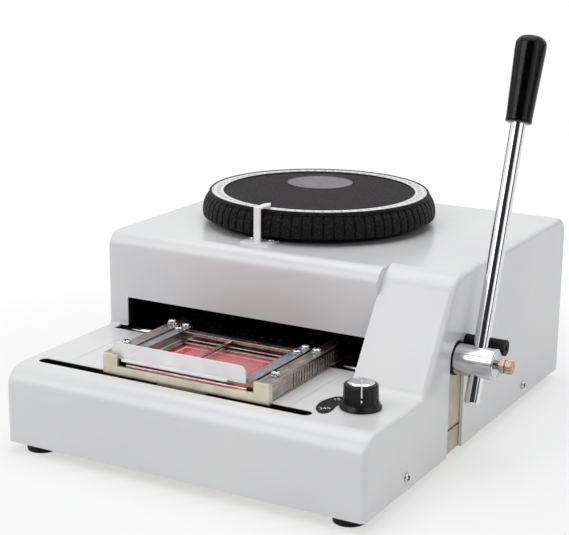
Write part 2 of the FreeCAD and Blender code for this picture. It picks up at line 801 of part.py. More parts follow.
def build_bearings():
    block = new_body("block_body")
    side = sketch_on(block, "block_side", "YZ_Plane", block_x)
    outline(side, [
        (lever_y - 16, pan_wall), (cam_y + 14, pan_wall), (cam_y + 14, cam_z + 11), (cam_y - 9, cam_z + 11),
        (lever_y - 16, lever_z + 22),
    ])
    pad(block, side, block_thick)
    lever_hole = cylinder("block_lever_hole", "x", (lever_y, lever_z), (block_x - 1, block_x + block_thick + 1),
                          lever_shaft_radius + 3)
    cam_hole = cylinder("block_cam_hole", "x", (cam_y, cam_z), (block_x - 1, block_x + block_thick + 1),
                        cam_shaft_radius + 2)
    node(cut("bearing_casting", block, lever_hole, cam_hole), "bearing_block")

    plate_inner = pan_side - side_plate_thick
    plate = box("side_plate_blank", (plate_inner, pan_side), (lever_y - 18, lever_y + 52),
                (pan_height + 2, cam_z - 12))
    hole = cylinder("side_plate_hole", "x", (lever_y, lever_z), (plate_inner - 1, pan_side + 1),
                    lever_shaft_radius + 3)
    strap = box("side_plate_foot", (block_x + block_thick, plate_inner), (lever_y - 18, lever_y + 52),
                (pan_wall, lever_z - 16))
    tap = cylinder("side_plate_tap", "x", (bumper_y, bumper_z), (plate_inner - 1, pan_side + 1), 3)
    node(cut("side_plate_cut", fuse("side_plate_pair", plate, strap), hole, tap), "side_plate")

    bushes = []
    for name, y, z, shaft, wall, start, end in (
            ("lever_block", lever_y, lever_z, lever_shaft_radius, 3, block_x, block_x + block_thick),
            ("lever_plate", lever_y, lever_z, lever_shaft_radius, 3, plate_inner, pan_side),
            ("cam_block", cam_y, cam_z, cam_shaft_radius, 2, block_x, block_x + block_thick)):
        sleeve = cylinder(name + "_bush_body", "x", (y, z), (start, end), shaft + wall)
        bore = cylinder(name + "_bush_bore", "x", (y, z), (start - 1, end + 1), shaft + running_gap)
        bushes.append(cut(name + "_bush", sleeve, bore))
    for name, bottom, top in (("spindle_low", spindle_bottom, lower_arm_top), ("spindle_high", upper_arm_bottom, upper_arm_top)):
        sleeve = cylinder(name + "_bush_body", "z", (dial_x, dial_y), (bottom, top), spindle_bush_radius)
        bore = cylinder(name + "_bush_bore", "z", (dial_x, dial_y), (bottom - 1, top + 1),
                        spindle_radius + running_gap)
        bushes.append(cut(name + "_bush", sleeve, bore))
    node(fuse("bush_set", *bushes), "bronze_bushes")

    ring = cylinder("washer_body", "x", (lever_y, lever_z), (pan_side, half_width + 0.2), hub_radius + 1)
    bore = cylinder("washer_bore", "x", (lever_y, lever_z), (pan_side - 1, half_width + 1), lever_shaft_radius + 1)
    relief = cylinder("washer_relief", "x", (bumper_y, bumper_z), (pan_side - 1, half_width + 1), bumper_radius + 0.2)
    node(cut("washer", ring, bore, relief), "hub_washer")

    rubber = cylinder("stop_rubber", "x", (bumper_y, bumper_z), (pan_side, bumper_end), bumper_radius)
    stud = cylinder("stop_stud", "x", (bumper_y, bumper_z), (plate_inner, pan_side), 3)
    socket = cylinder("stop_socket", "x", (bumper_y, bumper_z), (bumper_end - 2, bumper_end + 1), 2)
    node(cut("stop", fuse("stop_blank", rubber, stud), socket), "stop_bumper")


# Dial and what turns with it
def build_spindle():
    shaft = cylinder("spindle_shaft", "z", (0, 0), (spindle_bottom, grip_bottom + 3), spindle_radius)
    collar = cylinder("spindle_collar", "z", (0, 0), (lower_arm_top + free_gap, lower_disc_level - 6),
                      spindle_radius + 4)
    node(fuse("spindle_turned", shaft, collar), "spindle", x=dial_x, y=dial_y)


def type_disc(name, level, hub_low, hub_high):
    """A wheel with a radial slot for each type pin."""
    body = new_body(name)
    rim = sketch_on(body, name + "_rim", "XY_Plane", level)
    circle(rim, 0, 0, type_disc_radius)
    pad(body, rim, type_disc_thick)
    hub = sketch_on(body, name + "_hub", "XY_Plane", hub_low)
    circle(hub, 0, 0, type_hub_radius)
    pad(body, hub, hub_high - hub_low)
    bore = sketch_on(body, name + "_bore", "XY_Plane", hub_high)
    circle(bore, 0, 0, spindle_radius)
    pocket(body, bore, hub_high - hub_low)
    slot = sketch_on(body, name + "_slot", "XY_Plane", level + type_disc_thick)
    along_half = type_length / 2 + type_play
    across_half = type_width / 2 + type_play
    rectangle(slot, (-across_half, across_half), (-type_radius - along_half, -type_radius + along_half))
    around(body, pocket(body, slot, type_disc_thick), character_count)
    node(body, name, x=dial_x, y=dial_y)


def type_pins(name, shank, head):
    """One type pin in every slot of a disc, each a shank and a wider head."""
    width = type_width.number
    pieces = []
    for low, high, length in ((shank[0], shank[1], type_length), (head[0], head[1], type_head_length)):
        corner = FreeCAD.Vector(-width / 2, -(type_radius + length / 2).number, as_size(low).number)
        pieces.append(Part.makeBox(width, length.number, (as_size(high) - low).number, corner))
    pin = pieces[0].fuse(pieces[1]).removeSplitter()
    count = int(character_count.number)
    pins = []
    for step in range(count):
        copy = pin.copy()
        copy.rotate(FreeCAD.Vector(), FreeCAD.Vector(0, 0, 1), 360 * step / count)
        pins.append(copy)
    holder = doc.addObject("Part::Feature", name + "_shape")
    holder.Shape = Part.makeCompound(pins)
    node(holder, name, x=dial_x, y=dial_y)


def build_type_wheels():
    type_disc("lower_type_disc", lower_disc_level, lower_disc_level - 6, lower_disc_level + type_disc_thick + 4)
    type_disc("upper_type_disc", upper_disc_level, upper_disc_level - 3, upper_type_top + 0.5)
    type_pins("lower_type_pins", (lower_type_bottom + type_head_height, lower_type_top),
              (lower_type_bottom, lower_type_bottom + type_head_height))
    type_pins("upper_type_pins", (upper_type_bottom, upper_type_top - type_head_height),
              (upper_type_top - type_head_height, upper_type_top))

    body = new_body("index_gear")
    rim = sketch_on(body, "index_rim", "XY_Plane", index_wheel_bottom)
    circle(rim, 0, 0, index_wheel_radius)
    pad(body, rim, index_wheel_thick)
    hub = sketch_on(body, "index_hub", "XY_Plane", upper_type_top + 0.5)
    circle(hub, 0, 0, type_hub_radius - 6)
    pad(body, hub, upper_arm_bottom - free_gap - (upper_type_top + 0.5))
    bore = sketch_on(body, "index_bore", "XY_Plane", upper_arm_bottom)
    circle(bore, 0, 0, spindle_radius)
    pocket(body, bore, upper_arm_bottom - upper_type_top)
    notch = sketch_on(body, "index_notch_cut", "XY_Plane", index_wheel_bottom + index_wheel_thick)
    half = index_notch / 2
    tip = index_wheel_radius + 1
    outline(notch, [(-half, -tip), (half, -tip), (0, -index_wheel_radius + index_notch)])
    around(body, pocket(body, notch, index_wheel_thick), character_count)
    node(body, "index_wheel", x=dial_x, y=dial_y)


def build_dial():
    plate = cylinder("hub_plate", "z", (0, 0), (cover_height + 0.8, grip_bottom), dial_base_radius)
    boss = cylinder("hub_boss", "z", (0, 0), (grip_bottom, dial_top - 7), type_hub_radius + 8)
    bore = cylinder("hub_bore", "z", (0, 0), (cover_height, grip_bottom + 3), spindle_radius)
    node(cut("hub_cut", fuse("hub_blank", plate, boss), bore), "dial_hub", x=dial_x, y=dial_y)

    body = new_body("grip")
    section = sketch_on(body, "grip_section", "XZ_Plane")
    shoulder = dial_top - 0.8
    outline(section, [
        (disc_radius, grip_bottom), (grip_radius - 1, grip_bottom), (grip_radius, grip_bottom + 1.5),
        (grip_top_radius + 1, shoulder - 3), (ring_radius, shoulder), (disc_radius, shoulder),
    ])
    revolve(body, section, "V_Axis")
    groove = sketch_on(body, "grip_groove", "XZ_Plane", -grip_radius - 3)
    half = rib_gap / 2
    rectangle(groove, (-half, half), (grip_bottom - 1, shoulder - 2.5))
    reach = grip_radius + 3 - (grip_top_radius + 1 - rib_depth)
    around(body, pocket(body, groove, reach, backwards=True), character_count)
    node(body, "grip_ring", x=dial_x, y=dial_y)

    ring = cylinder("ring_body", "z", (0, 0), (shoulder, dial_top), ring_radius)
    ring_hole = cylinder("ring_hole", "z", (0, 0), (shoulder - 1, dial_top + 1), disc_radius)
    node(cut("ring_cut", ring, ring_hole), "character_ring", x=dial_x, y=dial_y)

    disc_top = dial_top - 0.5
    disc = cylinder("disc_body", "z", (0, 0), (dial_top - 7, disc_top), disc_radius)
    pocket_floor = cylinder("badge_seat", "z", (badge_x, badge_y), (disc_top - 0.6, disc_top + 1), badge_radius)
    node(cut("disc_cut", disc, pocket_floor), "centre_disc", x=dial_x, y=dial_y)
    badge = cylinder("badge_body", "z", (badge_x, badge_y), (disc_top - 0.6, disc_top + 0.2), badge_radius)
    node(badge, "badge_plate", x=dial_x, y=dial_y)


def build_index_arm():
    """A sprung arm whose tip stands just clear of the index wheel's notches."""
    length = index_arm_length
    low = index_wheel_bottom
    high = index_wheel_bottom + index_wheel_thick
    beam = box("index_beam", (-length, 0), (-index_roller_radius, index_roller_radius - 1), (low, high))
    eye = cylinder("index_eye", "z", (0, 0), (low, high), 6.5)
    hole = cylinder("index_hole", "z", (0, 0), (low - 1, high + 1), 3 + running_gap)
    roller = cylinder("index_roller", "z", (-length, 0), (low, high), index_roller_radius)
    node(cut("index_arm_cut", fuse("index_arm_blank", beam, eye, roller), hole), "index_arm",
         x=index_pivot_x(), y=index_pivot_y())


# Lever and crank train
def build_lever():
    hub = cylinder("hub_body", "x", (0, 0), (hub_face, half_width + hub_end), hub_radius)
    shaft = cylinder("hub_shaft", "x", (0, 0), (crank_x, hub_face), lever_shaft_radius)
    rod_hole = cylinder("hub_rod_hole", "z", (lever_rod_x, 0), (-hub_radius - 1, hub_radius + 1), lever_rod_radius)
    screw_hole = cylinder("hub_screw_hole", "x", (0, 0), (lever_rod_x, half_width + hub_end + 1), clamp_neck_radius)
    turned_node(cut("hub_finished", fuse("hub_turned", hub, shaft), rod_hole, screw_hole), "lever_hub",
                lever_lean, True, 0, lever_y, lever_z)

    rod = cylinder("rod_bar", "z", (lever_rod_x, 0), (-lever_rod_below, grip_start + grip_length * 0.7),
                   lever_rod_radius)
    tip = doc.addObject("Part::Chamfer", "rod_tip")
    tip.Base = rod
    doc.recompute()
    ends = [int(name[4:]) for name in edges_in(rod.Shape, (None, None, -lever_rod_below),
                                               (None, None, -lever_rod_below))]
    tip.Edges = [(edge, 1.0, 1.0) for edge in ends]
    turned_node(tip, "lever_rod", lever_lean, True, 0, lever_y, lever_z)

    body = new_body("hand_grip")
    section = sketch_on(body, "hand_grip_section", "XZ_Plane")
    top = grip_start + grip_length
    bore_top = grip_start + grip_length * 0.7
    outline(section, [
        (lever_rod_radius, grip_start), (grip_low_radius, grip_start), (grip_high_radius, top - 12),
        (grip_high_radius, top), (0, top), (0, bore_top), (lever_rod_radius, bore_top),
    ])
    revolve(body, section, "V_Axis")
    fillet(body, grip_high_radius * 0.6, (-grip_high_radius, None, top), (grip_high_radius, None, top))
    turned_node(body, "lever_grip", lever_lean, True, lever_rod_x, lever_y, lever_z)

    face = half_width + hub_end
    neck = cylinder("clamp_neck", "x", (0, 0), (lever_rod_x + lever_rod_radius, face + clamp_neck_length),
                    clamp_neck_radius)
    head_start = face + clamp_neck_length
    head = cylinder("clamp_head", "x", (0, 0), (head_start, head_start + clamp_head_length), clamp_head_radius)
    waist_start = head_start + clamp_head_length * 0.4
    sleeve = cylinder("clamp_waist_outer", "x", (0, 0), (waist_start, waist_start + 1.2), clamp_head_radius + 1)
    core = cylinder("clamp_waist_core", "x", (0, 0), (waist_start - 1, waist_start + 3), clamp_neck_radius + 0.4)
    waist = cut("clamp_waist", sleeve, core)
    turned_node(cut("clamp_cut", fuse("clamp_blank", neck, head), waist), "clamp_screw",
                lever_lean, True, 0, lever_y, lever_z)


def crank(name, label, shaft_radius, y, z):
    """A crank arm on a shaft, with its pin standing out towards the dial's side."""
    far = crank_x + crank_thick
    eye = cylinder(name + "_eye", "x", (0, 0), (crank_x, far), shaft_radius + 4)
    web = box(name + "_web", (crank_x, far), (0, crank_radius), (-5.5, 5.5))
    end = cylinder(name + "_end", "x", (crank_radius, 0), (crank_x, far), crank_pin_radius + 2.5)
    pin = cylinder(name + "_pin", "x", (crank_radius, 0), (crank_x - link_thick - 2, crank_x), crank_pin_radius)
    bore = cylinder(name + "_bore", "x", (0, 0), (crank_x - 1, far + 1), shaft_radius)
    arm = cut(name + "_cut", fuse(name + "_blank", eye, web, end, pin), bore)
    turned_node(arm, label, crank_lean, True, 0, y, z)


def build_crank_train():
    crank("lever_arm", "lever_crank", lever_shaft_radius, lever_y, lever_z)
    crank("cam_arm", "cam_crank", cam_shaft_radius, cam_y, cam_z)

    across = cam_y - lever_y
    up = cam_z - lever_z
    length = root(across * across + up * up)
    near = crank_x - 1 - link_thick
    far = crank_x - 1
    bar = box("link_bar", (near, far), (0, length), (-4, 4))
    eyes = [cylinder(f"link_eye_{end}", "x", (place, 0), (near, far), crank_pin_radius + 3)
            for end, place in enumerate((0, length))]
    bores = [cylinder(f"link_bore_{end}", "x", (place, 0), (near - 1, far + 1), crank_pin_radius + running_gap)
             for end, place in enumerate((0, length))]
    pin_y = lever_y + crank_radius * cosine(crank_lean)
    pin_z = lever_z - crank_radius * sine(crank_lean)
    turned_node(cut("link_cut", fuse("link_blank", bar, *eyes), *bores), "connecting_rod",
                bearing_angle(across, up), False, 0, pin_y, pin_z)

    shaft = cylinder("cam_bar", "x", (cam_y, cam_z), (dial_x - frame_width / 2 - 4, block_x + block_thick + 3),
                     cam_shaft_radius)
    node(shaft, "cam_shaft")


def cam_profile_point(turn):
    """A point of the cam where a flat follower touches it after a given turn, in degrees.

    The follower drops in proportion to the turn, so the profile is an involute.
    """
    rate = cam_lift.number / math.radians(lever_swing.number)
    reach = cam_base.number + rate * math.radians(turn)
    facing = math.radians(-90 - turn)
    y = reach * math.cos(facing) + rate * math.sin(facing)
    z = reach * math.sin(facing) - rate * math.cos(facing)
    return FreeCAD.Vector(0, y, z)


def build_cam():
    spare = 12
    steps = 12
    swing = lever_swing.number + 2 * spare
    points = [cam_profile_point(-spare + swing * step / steps) for step in range(steps + 1)]
    rise = Part.BSplineCurve()
    rise.interpolate(points)
    opposite = math.radians(90 - lever_swing.number / 2)
    back_radius = cam_base.number + cam_lift.number / 2
    crown = FreeCAD.Vector(0, back_radius * math.cos(opposite), back_radius * math.sin(opposite))
    back = Part.Arc(points[-1], crown, points[0])
    wire = Part.Wire([rise.toShape(), back.toShape()])
    blank = Part.Face(wire).extrude(FreeCAD.Vector(cam_width.number, 0, 0))
    hole = Part.makeCylinder(cam_shaft_radius.number, cam_width.number, FreeCAD.Vector(), FreeCAD.Vector(1, 0, 0))
    holder = doc.addObject("Part::Feature", "press_cam_shape")
    holder.Shape = blank.cut(hole)
    node(holder, "press_cam", x=dial_x - cam_width / 2, y=cam_y, z=cam_z)


def build_ram():
    place = (dial_x, emboss_y)
    head_top = cam_z - cam_base - cam_gap
    head_low = head_top - ram_head_height
    stem = cylinder("ram_stem", "z", place, (ram_bottom, head_low), ram_radius)
    head = cylinder("ram_head", "z", place, (head_low, head_top), ram_head_radius)
    node(fuse("ram_turned", stem, head), "press_ram")

    cup = cylinder("guide_cup", "z", place, (guide_bottom, upper_arm_bottom), guide_radius)
    well = cylinder("guide_well", "z", place, (guide_bottom + guide_floor, upper_arm_bottom + 1), guide_bore)
    bore = cylinder("guide_hole", "z", place, (guide_bottom - 1, guide_bottom + guide_floor + 1),
                    ram_radius + running_gap)
    node(cut("guide_cut", cup, well, bore), "ram_guide")

    wire = 0.5
    coil_radius = (ram_radius.number + guide_bore.number) / 2
    seat = (guide_bottom + guide_floor).number + wire
    height = head_low.number - seat - wire
    turns = 4
    coil_wall = Part.Cylinder()
    coil_wall.Radius = coil_radius
    path = []
    for turn in range(turns):
        start = Base.Vector2d(2 * math.pi * turn, height / turns * turn)
        end = Base.Vector2d(2 * math.pi * (turn + 1), height / turns * (turn + 1))
        path.append(Part.Geom2d.Line2dSegment(start, end).toShape(coil_wall))
    section = Part.Wire(Part.makeCircle(wire, FreeCAD.Vector(coil_radius, 0, 0), FreeCAD.Vector(0, 1, 0)))
    coil = Part.Wire(path).makePipeShell([section], True, True)
    holder = doc.addObject("Part::Feature", "ram_coil")
    holder.Shape = coil
    node(holder, "ram_spring", x=dial_x, y=emboss_y, z=seat)


# Carriage
def rail(name, label, outer, inner, groove, notched):
    """A guide rail with a groove for the tray, and a lower tail that reaches between the discs."""
    body = new_body(name)
    side = sketch_on(body, name + "_side", "YZ_Plane", outer if outer.number < inner.number else inner)
    outline(side, [
        (rail_front, rail_bottom), (tail_rear, rail_bottom), (tail_rear, rail_bottom + tail_height),
        (rail_rear, rail_bottom + tail_height), (rail_rear, rail_top), (rail_front, rail_top),
    ])
    pad(body, side, rail_width)
    channel = sketch_on(body, name + "_channel", "XZ_Plane", -tail_rear - 1)
    level = rail_bottom + groove_rise
    low, high = (inner - groove_depth, inner) if groove > 0 else (inner, inner + groove_depth)
    rectangle(channel, (low, high), (level, level + groove_height))
    pocket(body, channel, tail_rear + 2, backwards=True)
    if notched:
        notch = sketch_on(body, name + "_notch", "YZ_Plane", outer)
        rectangle(notch, (notch_start, notch_start + notch_pitch * 0.45),
                  (rail_bottom + 1, rail_top - 2.5))
        along(body, pocket(body, notch, notch_depth), "Y_Axis", notch_count, notch_pitch)
    taps = sketch_on(body, name + "_taps", "XY_Plane", rail_top)
    for x, y in rail_screw_places(1 if notched else 0):
        circle(taps, x, y, thread_radius)
    pocket(body, taps, RAIL_SCREW_DEPTH)
    node(body, label)


RAIL_SCREW_ROWS = ((56, 121), (50, 113.5))
RAIL_SCREW_DEPTH = 6


def rail_screw_places(side):
    """Screws of the left (0) or right (1) rail."""
    x = rail_left + 3.4 if side == 0 else rail_right - rail_width / 2
    return [(x, y) for y in RAIL_SCREW_ROWS[side]]


def build_carriage():
    left_inner = rail_left + rail_width
    right_inner = rail_right - rail_width
    rail("left_rail_body", "left_rail", rail_left, left_inner, 1, False)
    rail("right_rail_body", "right_rail", rail_right, right_inner, -1, True)

    plate_y = (front_slot_y - cross_thick / 2, front_slot_y + cross_thick / 2)
    inner_left = cross_left + ear_width
    inner_right = cross_right - ear_width
    body = new_body("cross_plate")
    front = sketch_on(body, "cross_outline", "XZ_Plane", -plate_y[1])
    middle = (rail_left + rail_right) / 2
    outline(front, [
        (middle - tongue_half, front_rod_z - 7), (middle + tongue_half, front_rod_z - 7),
        (middle + tongue_half, table_height + free_gap), (cross_right, table_height + free_gap), (cross_right, ear_top),
        (inner_right, ear_top), (inner_right, flange_top), (inner_left, flange_top), (inner_left, ear_top),
        (cross_left, ear_top), (cross_left, table_height + free_gap), (middle - tongue_half, table_height + free_gap),
    ])
    pad(body, front, cross_thick)
    for side, low, high in (("left", cross_left, rail_left + rail_width), ("right", right_inner, cross_right)):
        fold = sketch_on(body, f"ear_fold_{side}", "YZ_Plane", low)
        rectangle(fold, (plate_y[1] - 1, rail_front), (rail_bottom, ear_top - 1.2))
        pad(body, fold, high - low)
    node(body, "front_cross_plate")

    slider = box("slider_block", (middle - tongue_half, middle + tongue_half), (plate_y[1], plate_y[1] + 14),
                 (front_rod_z - 8, front_rod_z + 8.5))
    bore = cylinder("slider_bore", "x", (front_rod_y, front_rod_z), (middle - 30, middle + 30),
                    front_rod_radius + running_gap)
    node(cut("slider_cut", slider, bore), "front_slider")

    beam = box("beam_block", (rail_left + 4, rail_right - 4), (rear_rod_y - 9, rear_rod_y + 9),
               (rear_rod_z - 8, rail_bottom))
    bore = cylinder("beam_bore", "x", (rear_rod_y, rear_rod_z), (rail_left, rail_right),
                    rear_rod_radius + running_gap)
    node(cut("beam_cut", beam, bore), "carriage_beam")

    places = rail_screw_places(0) + rail_screw_places(1)
    screws = [pan_screw(f"rail_screw_{index}", "z", place, rail_top, 1, RAIL_SCREW_DEPTH)
              for index, place in enumerate(places)]
    node(fuse("rail_screw_set", *screws), "rail_screws")


def build_rack():
    body = new_body("rack")
    low = rear_rod_z - 8 - rack_height
    side = sketch_on(body, "rack_bar", "XZ_Plane", -rear_rod_y)
    rectangle(side, (rail_left + 4, rail_right - 4), (low, low + rack_height))
    pad(body, side, 6, middle=True)
    tooth = sketch_on(body, "rack_tooth", "XZ_Plane", -rear_rod_y)
    start = rail_left + 8
    outline(tooth, [(start, low - 1), (start + rack_pitch * 0.8, low - 1), (start + rack_pitch * 0.4, low + 2)])
    along(body, pocket(body, tooth, 8, middle=True), "X_Axis", 50, rack_pitch)
    node(body, "feed_rack")


def pawl_place():
    return dial_x + 30, rear_rod_z - 8 - rack_height


def build_pawl():
    """A sprung pawl that stands just under the rack's teeth."""
    x, tip_level = pawl_place()
    axle = tip_level - 16
    arm = box("pawl_arm", (-3, 3), (-2.5, 2.5), (0, 13))
    tip = cone("pawl_tip", "z", (0, 0), (13, 16 - free_gap), 2.5, 0.8)
    eye = cylinder("pawl_eye", "y", (0, 0), (-2.5, 2.5), 5)
    hole = cylinder("pawl_hole", "y", (0, 0), (-4, 4), 2.5 + running_gap)
    node(cut("pawl_cut", fuse("pawl_blank", arm, tip, eye), hole), "feed_pawl", x=x, y=rear_rod_y, z=axle)

    post_low = box("pawl_post_base", (x - 8, x + 8), (rear_rod_y - 13, rear_rod_y - 4), (pan_wall, axle + 6))
    pin = cylinder("pawl_pin", "y", (x, axle), (rear_rod_y - 5, rear_rod_y + 4), 2.5)
    return fuse("pawl_post", post_low, pin)


def build_guides(pawl_post):
    left = -inner_side + free_gap
    rods = [
        cylinder("front_rod", "x", (front_rod_y, front_rod_z), (left + 1, rod_right), front_rod_radius),
        cylinder("rear_rod", "x", (rear_rod_y, rear_rod_z), (left + 1, rod_right), rear_rod_radius),
    ]
    node(fuse("rod_pair", *rods), "guide_rods")

    brackets = [pawl_post]
    for name, y, z, radius in (("front", front_rod_y, front_rod_z, front_rod_radius),
                               ("rear", rear_rod_y, rear_rod_z, rear_rod_radius)):
        for side, low in (("left", left + pan_wall), ("right", rod_right - bracket_thick + 2)):
            stand = box(f"{name}_{side}_stand", (low, low + bracket_thick - 3), (y - 7.5, y + 7.5),
                        (pan_wall, z + 7))
            bore = cylinder(f"{name}_{side}_bore", "x", (y, z), (low - 1, low + bracket_thick), radius)
            brackets.append(cut(f"{name}_{side}_bracket", stand, bore))
    node(fuse("bracket_set", *brackets), "guide_brackets")


# Card tray
def tray_screw_places():
    left = strip_left_inner - strip_width / 2
    right = strip_right_inner + strip_width * 0.7
    return [(left, 111.6), (left, 122), (right, 107), (right, 120.8)]


def build_tray():
    left_inner = rail_left + rail_width
    right_inner = rail_right - rail_width
    bed = box("tray_bed", (left_inner - groove_depth + free_gap, right_inner + groove_depth - free_gap),
              (tray_front, tray_rear), (tray_floor, tray_top))
    bar = box("tray_bar", (left_inner + free_gap, right_inner - free_gap), (tray_front, tray_front + 3.5),
              (tray_top, strip_top))
    card_right = card_left + card_width
    window = box("card_window", (card_left + 5, card_right - 5), (card_front + 3, card_front + card_depth - 3),
                 (tray_floor - 1, tray_top + 1))
    node(cut("tray_cut", fuse("tray_blank", bed, bar), window), "card_tray")

    strip_front = tray_front + 3.5
    strips = [
        box("strip_left", (strip_left_inner - strip_width + 0.1, strip_left_inner), (strip_front, tray_rear),
            (tray_top, strip_top)),
        box("strip_right", (strip_right_inner, strip_right_inner + strip_width + 1.5), (strip_front, tray_rear),
            (tray_top, strip_top)),
    ]
    taps = [cylinder(f"tray_tap_{index}", "z", place, (tray_top - 1, strip_top + 1), thread_radius)
            for index, place in enumerate(tray_screw_places())]
    node(cut("strip_pair", fuse("strip_blanks", *strips), *taps), "tray_strips")

    bar_y = card_front + card_depth + 12
    rear_bar = box("rear_bar", (strip_left_inner, strip_right_inner), (bar_y, bar_y + 7), (tray_top, strip_top - 1))
    stop_one = box("stop_one", (card_left, card_right), (card_front + card_depth + 0.3, card_front + card_depth + 3),
                   (tray_top, tray_top + 2.5))
    stop_two = box("stop_two", (card_left, card_right), (card_front + card_depth + 6, card_front + card_depth + 8),
                   (tray_top, tray_top + 3.5))
    side_stop = box("side_stop", (strip_left_inner, card_left - 0.3), (strip_front, bar_y), (tray_top, tray_top + 2.5))
    finger = box("divider", (dial_x + 1.5, dial_x + 4.5), (card_front + 22, bar_y), (tray_top + 4, tray_top + 5.5))
    node(fuse("clamp_set", rear_bar, stop_one, stop_two, side_stop, finger), "tray_clamps")

    body = new_body("plastic_card")
    face = sketch_on(body, "card_face", "XY_Plane", tray_top)
    rectangle(face, (card_left, card_right), (card_front, card_front + card_depth))
    pad(body, face, card_thick)
    for x in (card_left, card_right):
        for y in (card_front, card_front + card_depth):
            fillet(body, card_corner, (x, y, None), (x, y, None))
    node(body, "card")

    body = new_body("pull")
    face = sketch_on(body, "pull_face", "XZ_Plane", -tray_front)
    step = rail_left + rail_width + free_gap
    outline(face, [
        (step, pull_bottom), (pull_right, pull_bottom), (pull_right, pull_top), (pull_left, pull_top),
        (pull_left, rail_top + free_gap), (step, rail_top + free_gap),
    ])
    pad(body, face, pull_thick)
    for x in (pull_left, pull_right):
        fillet(body, 6, (x, None, pull_top), (x, None, pull_top))
    fold = sketch_on(body, "pull_fold", "XZ_Plane", -pull_y)
    rectangle(fold, (pull_flange_left, pull_flange_right), (pull_bottom, pull_bottom + pull_thick))
    pad(body, fold, pull_flange)
    node(body, "pull_plate")

    screws = [pan_screw(f"tray_screw_{index}", "z", place, strip_top, 1, strip_top - tray_top)
              for index, place in enumerate(tray_screw_places())]
    node(fuse("tray_screw_set", *screws), "tray_screws")


# Knob, label and pointer
def build_knob():
    low = table_height + 0.4
    skirt_top = low + knob_skirt_height
    top = low + knob_height
    body = new_body("knob")
    section = sketch_on(body, "knob_section", "XZ_Plane")
    outline(section, [
        (knob_shaft_radius, low), (knob_skirt_radius, low), (knob_skirt_radius, low + 1),
        (knob_radius + 0.6, skirt_top), (knob_radius, skirt_top), (knob_radius - 0.6, top - 1.2),
        (knob_radius - 1.8, top), (knob_shaft_radius, top),
    ])
    revolve(body, section, "V_Axis")
    flute = sketch_on(body, "knob_flute", "XY_Plane", top + 1)
    circle(flute, 0, knob_radius + 1.6, 2.4)
    around(body, pocket(body, flute, knob_height - knob_skirt_height), 12)
    node(body, "spacing_knob", x=knob_x, y=knob_y)

    cap_edge = cylinder("cap_edge", "z", (0, 0), (top, top + 1), knob_radius - 3.6)
    cap_crown = cone("cap_crown", "z", (0, 0), (top + 1, top + 1.6), knob_radius - 3.6, knob_radius - 5)
    node(fuse("cap_blank", cap_edge, cap_crown), "knob_cap", x=knob_x, y=knob_y)

    cam_low = table_height - 16
    shaft = cylinder("knob_axle", "z", (0, 0), (cam_low, top), knob_shaft_radius)
    cam = cylinder("knob_cam", "z", (0, 3), (cam_low, cam_low + 5), 8)
    node(fuse("knob_axle_cam", shaft, cam), "knob_shaft", x=knob_x, y=knob_y)

    inner = table_height - cover_wall
    flange = cylinder("knob_flange", "z", (0, 0), (inner - 3, inner), knob_shaft_radius + 6)
    spigot = cylinder("knob_spigot", "z", (0, 0), (inner, table_height), knob_shaft_radius + 2)
    bore = cylinder("knob_bore", "z", (0, 0), (inner - 4, table_height + 1), knob_shaft_radius + running_gap)
    node(cut("knob_bush_cut", fuse("knob_bush_blank", flange, spigot), bore), "knob_bush", x=knob_x, y=knob_y)


def build_label():
    """A kidney-shaped label that bends round the knob."""
    low = table_height
    high = table_height + 0.4
    reach = knob_skirt_radius + 6.5
    inner = cylinder("label_inner", "z", (knob_x, knob_y), (low - 1, high + 1), reach - 5)
    outer = cylinder("label_outer", "z", (knob_x, knob_y), (low, high), reach + 5)
    keep = box("label_keep", (knob_x - reach - 8, knob_x - reach * 0.72), (knob_y - 15, knob_y + 8), (low - 1, high + 1))
    band = cut("label_band", outer, inner)
    arc = doc.addObject("Part::Common", "label_arc")
    arc.Base = band
    arc.Tool = keep
    node(arc, "knob_label")


def pointer_x(side):
    return pointer_middle + side * 8.5


def pointer_screw_y():
    return dial_y - grip_radius + 6


def build_pointer():
    """A strip bent up from its foot and over the character ring, to a point."""
    left = pointer_middle - pointer_width / 2
    right = pointer_middle + pointer_width / 2
    rear = dial_y - grip_radius - 1.9
    front = rear - pointer_thick
    foot = box("pointer_foot", (pointer_middle - 13, pointer_middle + 13), (front - 4, pointer_screw_y() + 4.5),
               (cover_height, cover_height + pointer_thick))
    post = box("pointer_post", (left, right), (front, rear), (cover_height, pointer_top))
    body = new_body("pointer_finger")
    finger = sketch_on(body, "pointer_tip", "XY_Plane", pointer_top - pointer_thick)
    tip_y = dial_y - ring_radius + 11
    outline(finger, [(left, front), (right, front), (right, tip_y - 5), (pointer_middle, tip_y), (left, tip_y - 5)])
    pad(body, finger, pointer_thick)
    holes = [cylinder(f"pointer_hole_{side + 1}", "z", (pointer_x(side), pointer_screw_y()),
                      (cover_height - 1, cover_height + 3), thread_radius) for side in FOOT_SIDES]
    node(cut("pointer_cut", fuse("pointer_blank", foot, post, body), *holes), "pointer_strip")


build_cover()
build_table_panel()
build_base()
build_pan_screws()
build_press_frame()
build_bearings()
build_spindle()
build_type_wheels()
build_dial()
build_index_arm()
build_lever()
build_crank_train()
build_cam()
build_ram()
build_carriage()
build_rack()
build_guides(build_pawl())
build_tray()
build_knob()
build_label()
build_pointer()
doc.recompute()

# Check and write
failed = [item.Name for item in doc.Objects if {"Invalid", "Error"} & set(item.State)]
for item in nodes:
    if item.Shape.isNull() or not item.Shape.isValid() or not item.Shape.Solids:
        failed.append(item.Label)
if failed:
    raise RuntimeError("failed: " + ", ".join(failed))
for item in nodes:
    item.Shape.exportStep(os.path.join("parts", item.Label + ".step"))
print(len(nodes), "sub-parts written")
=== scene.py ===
import json
import math

import bmesh
import bpy
from mathutils import Matrix, Vector


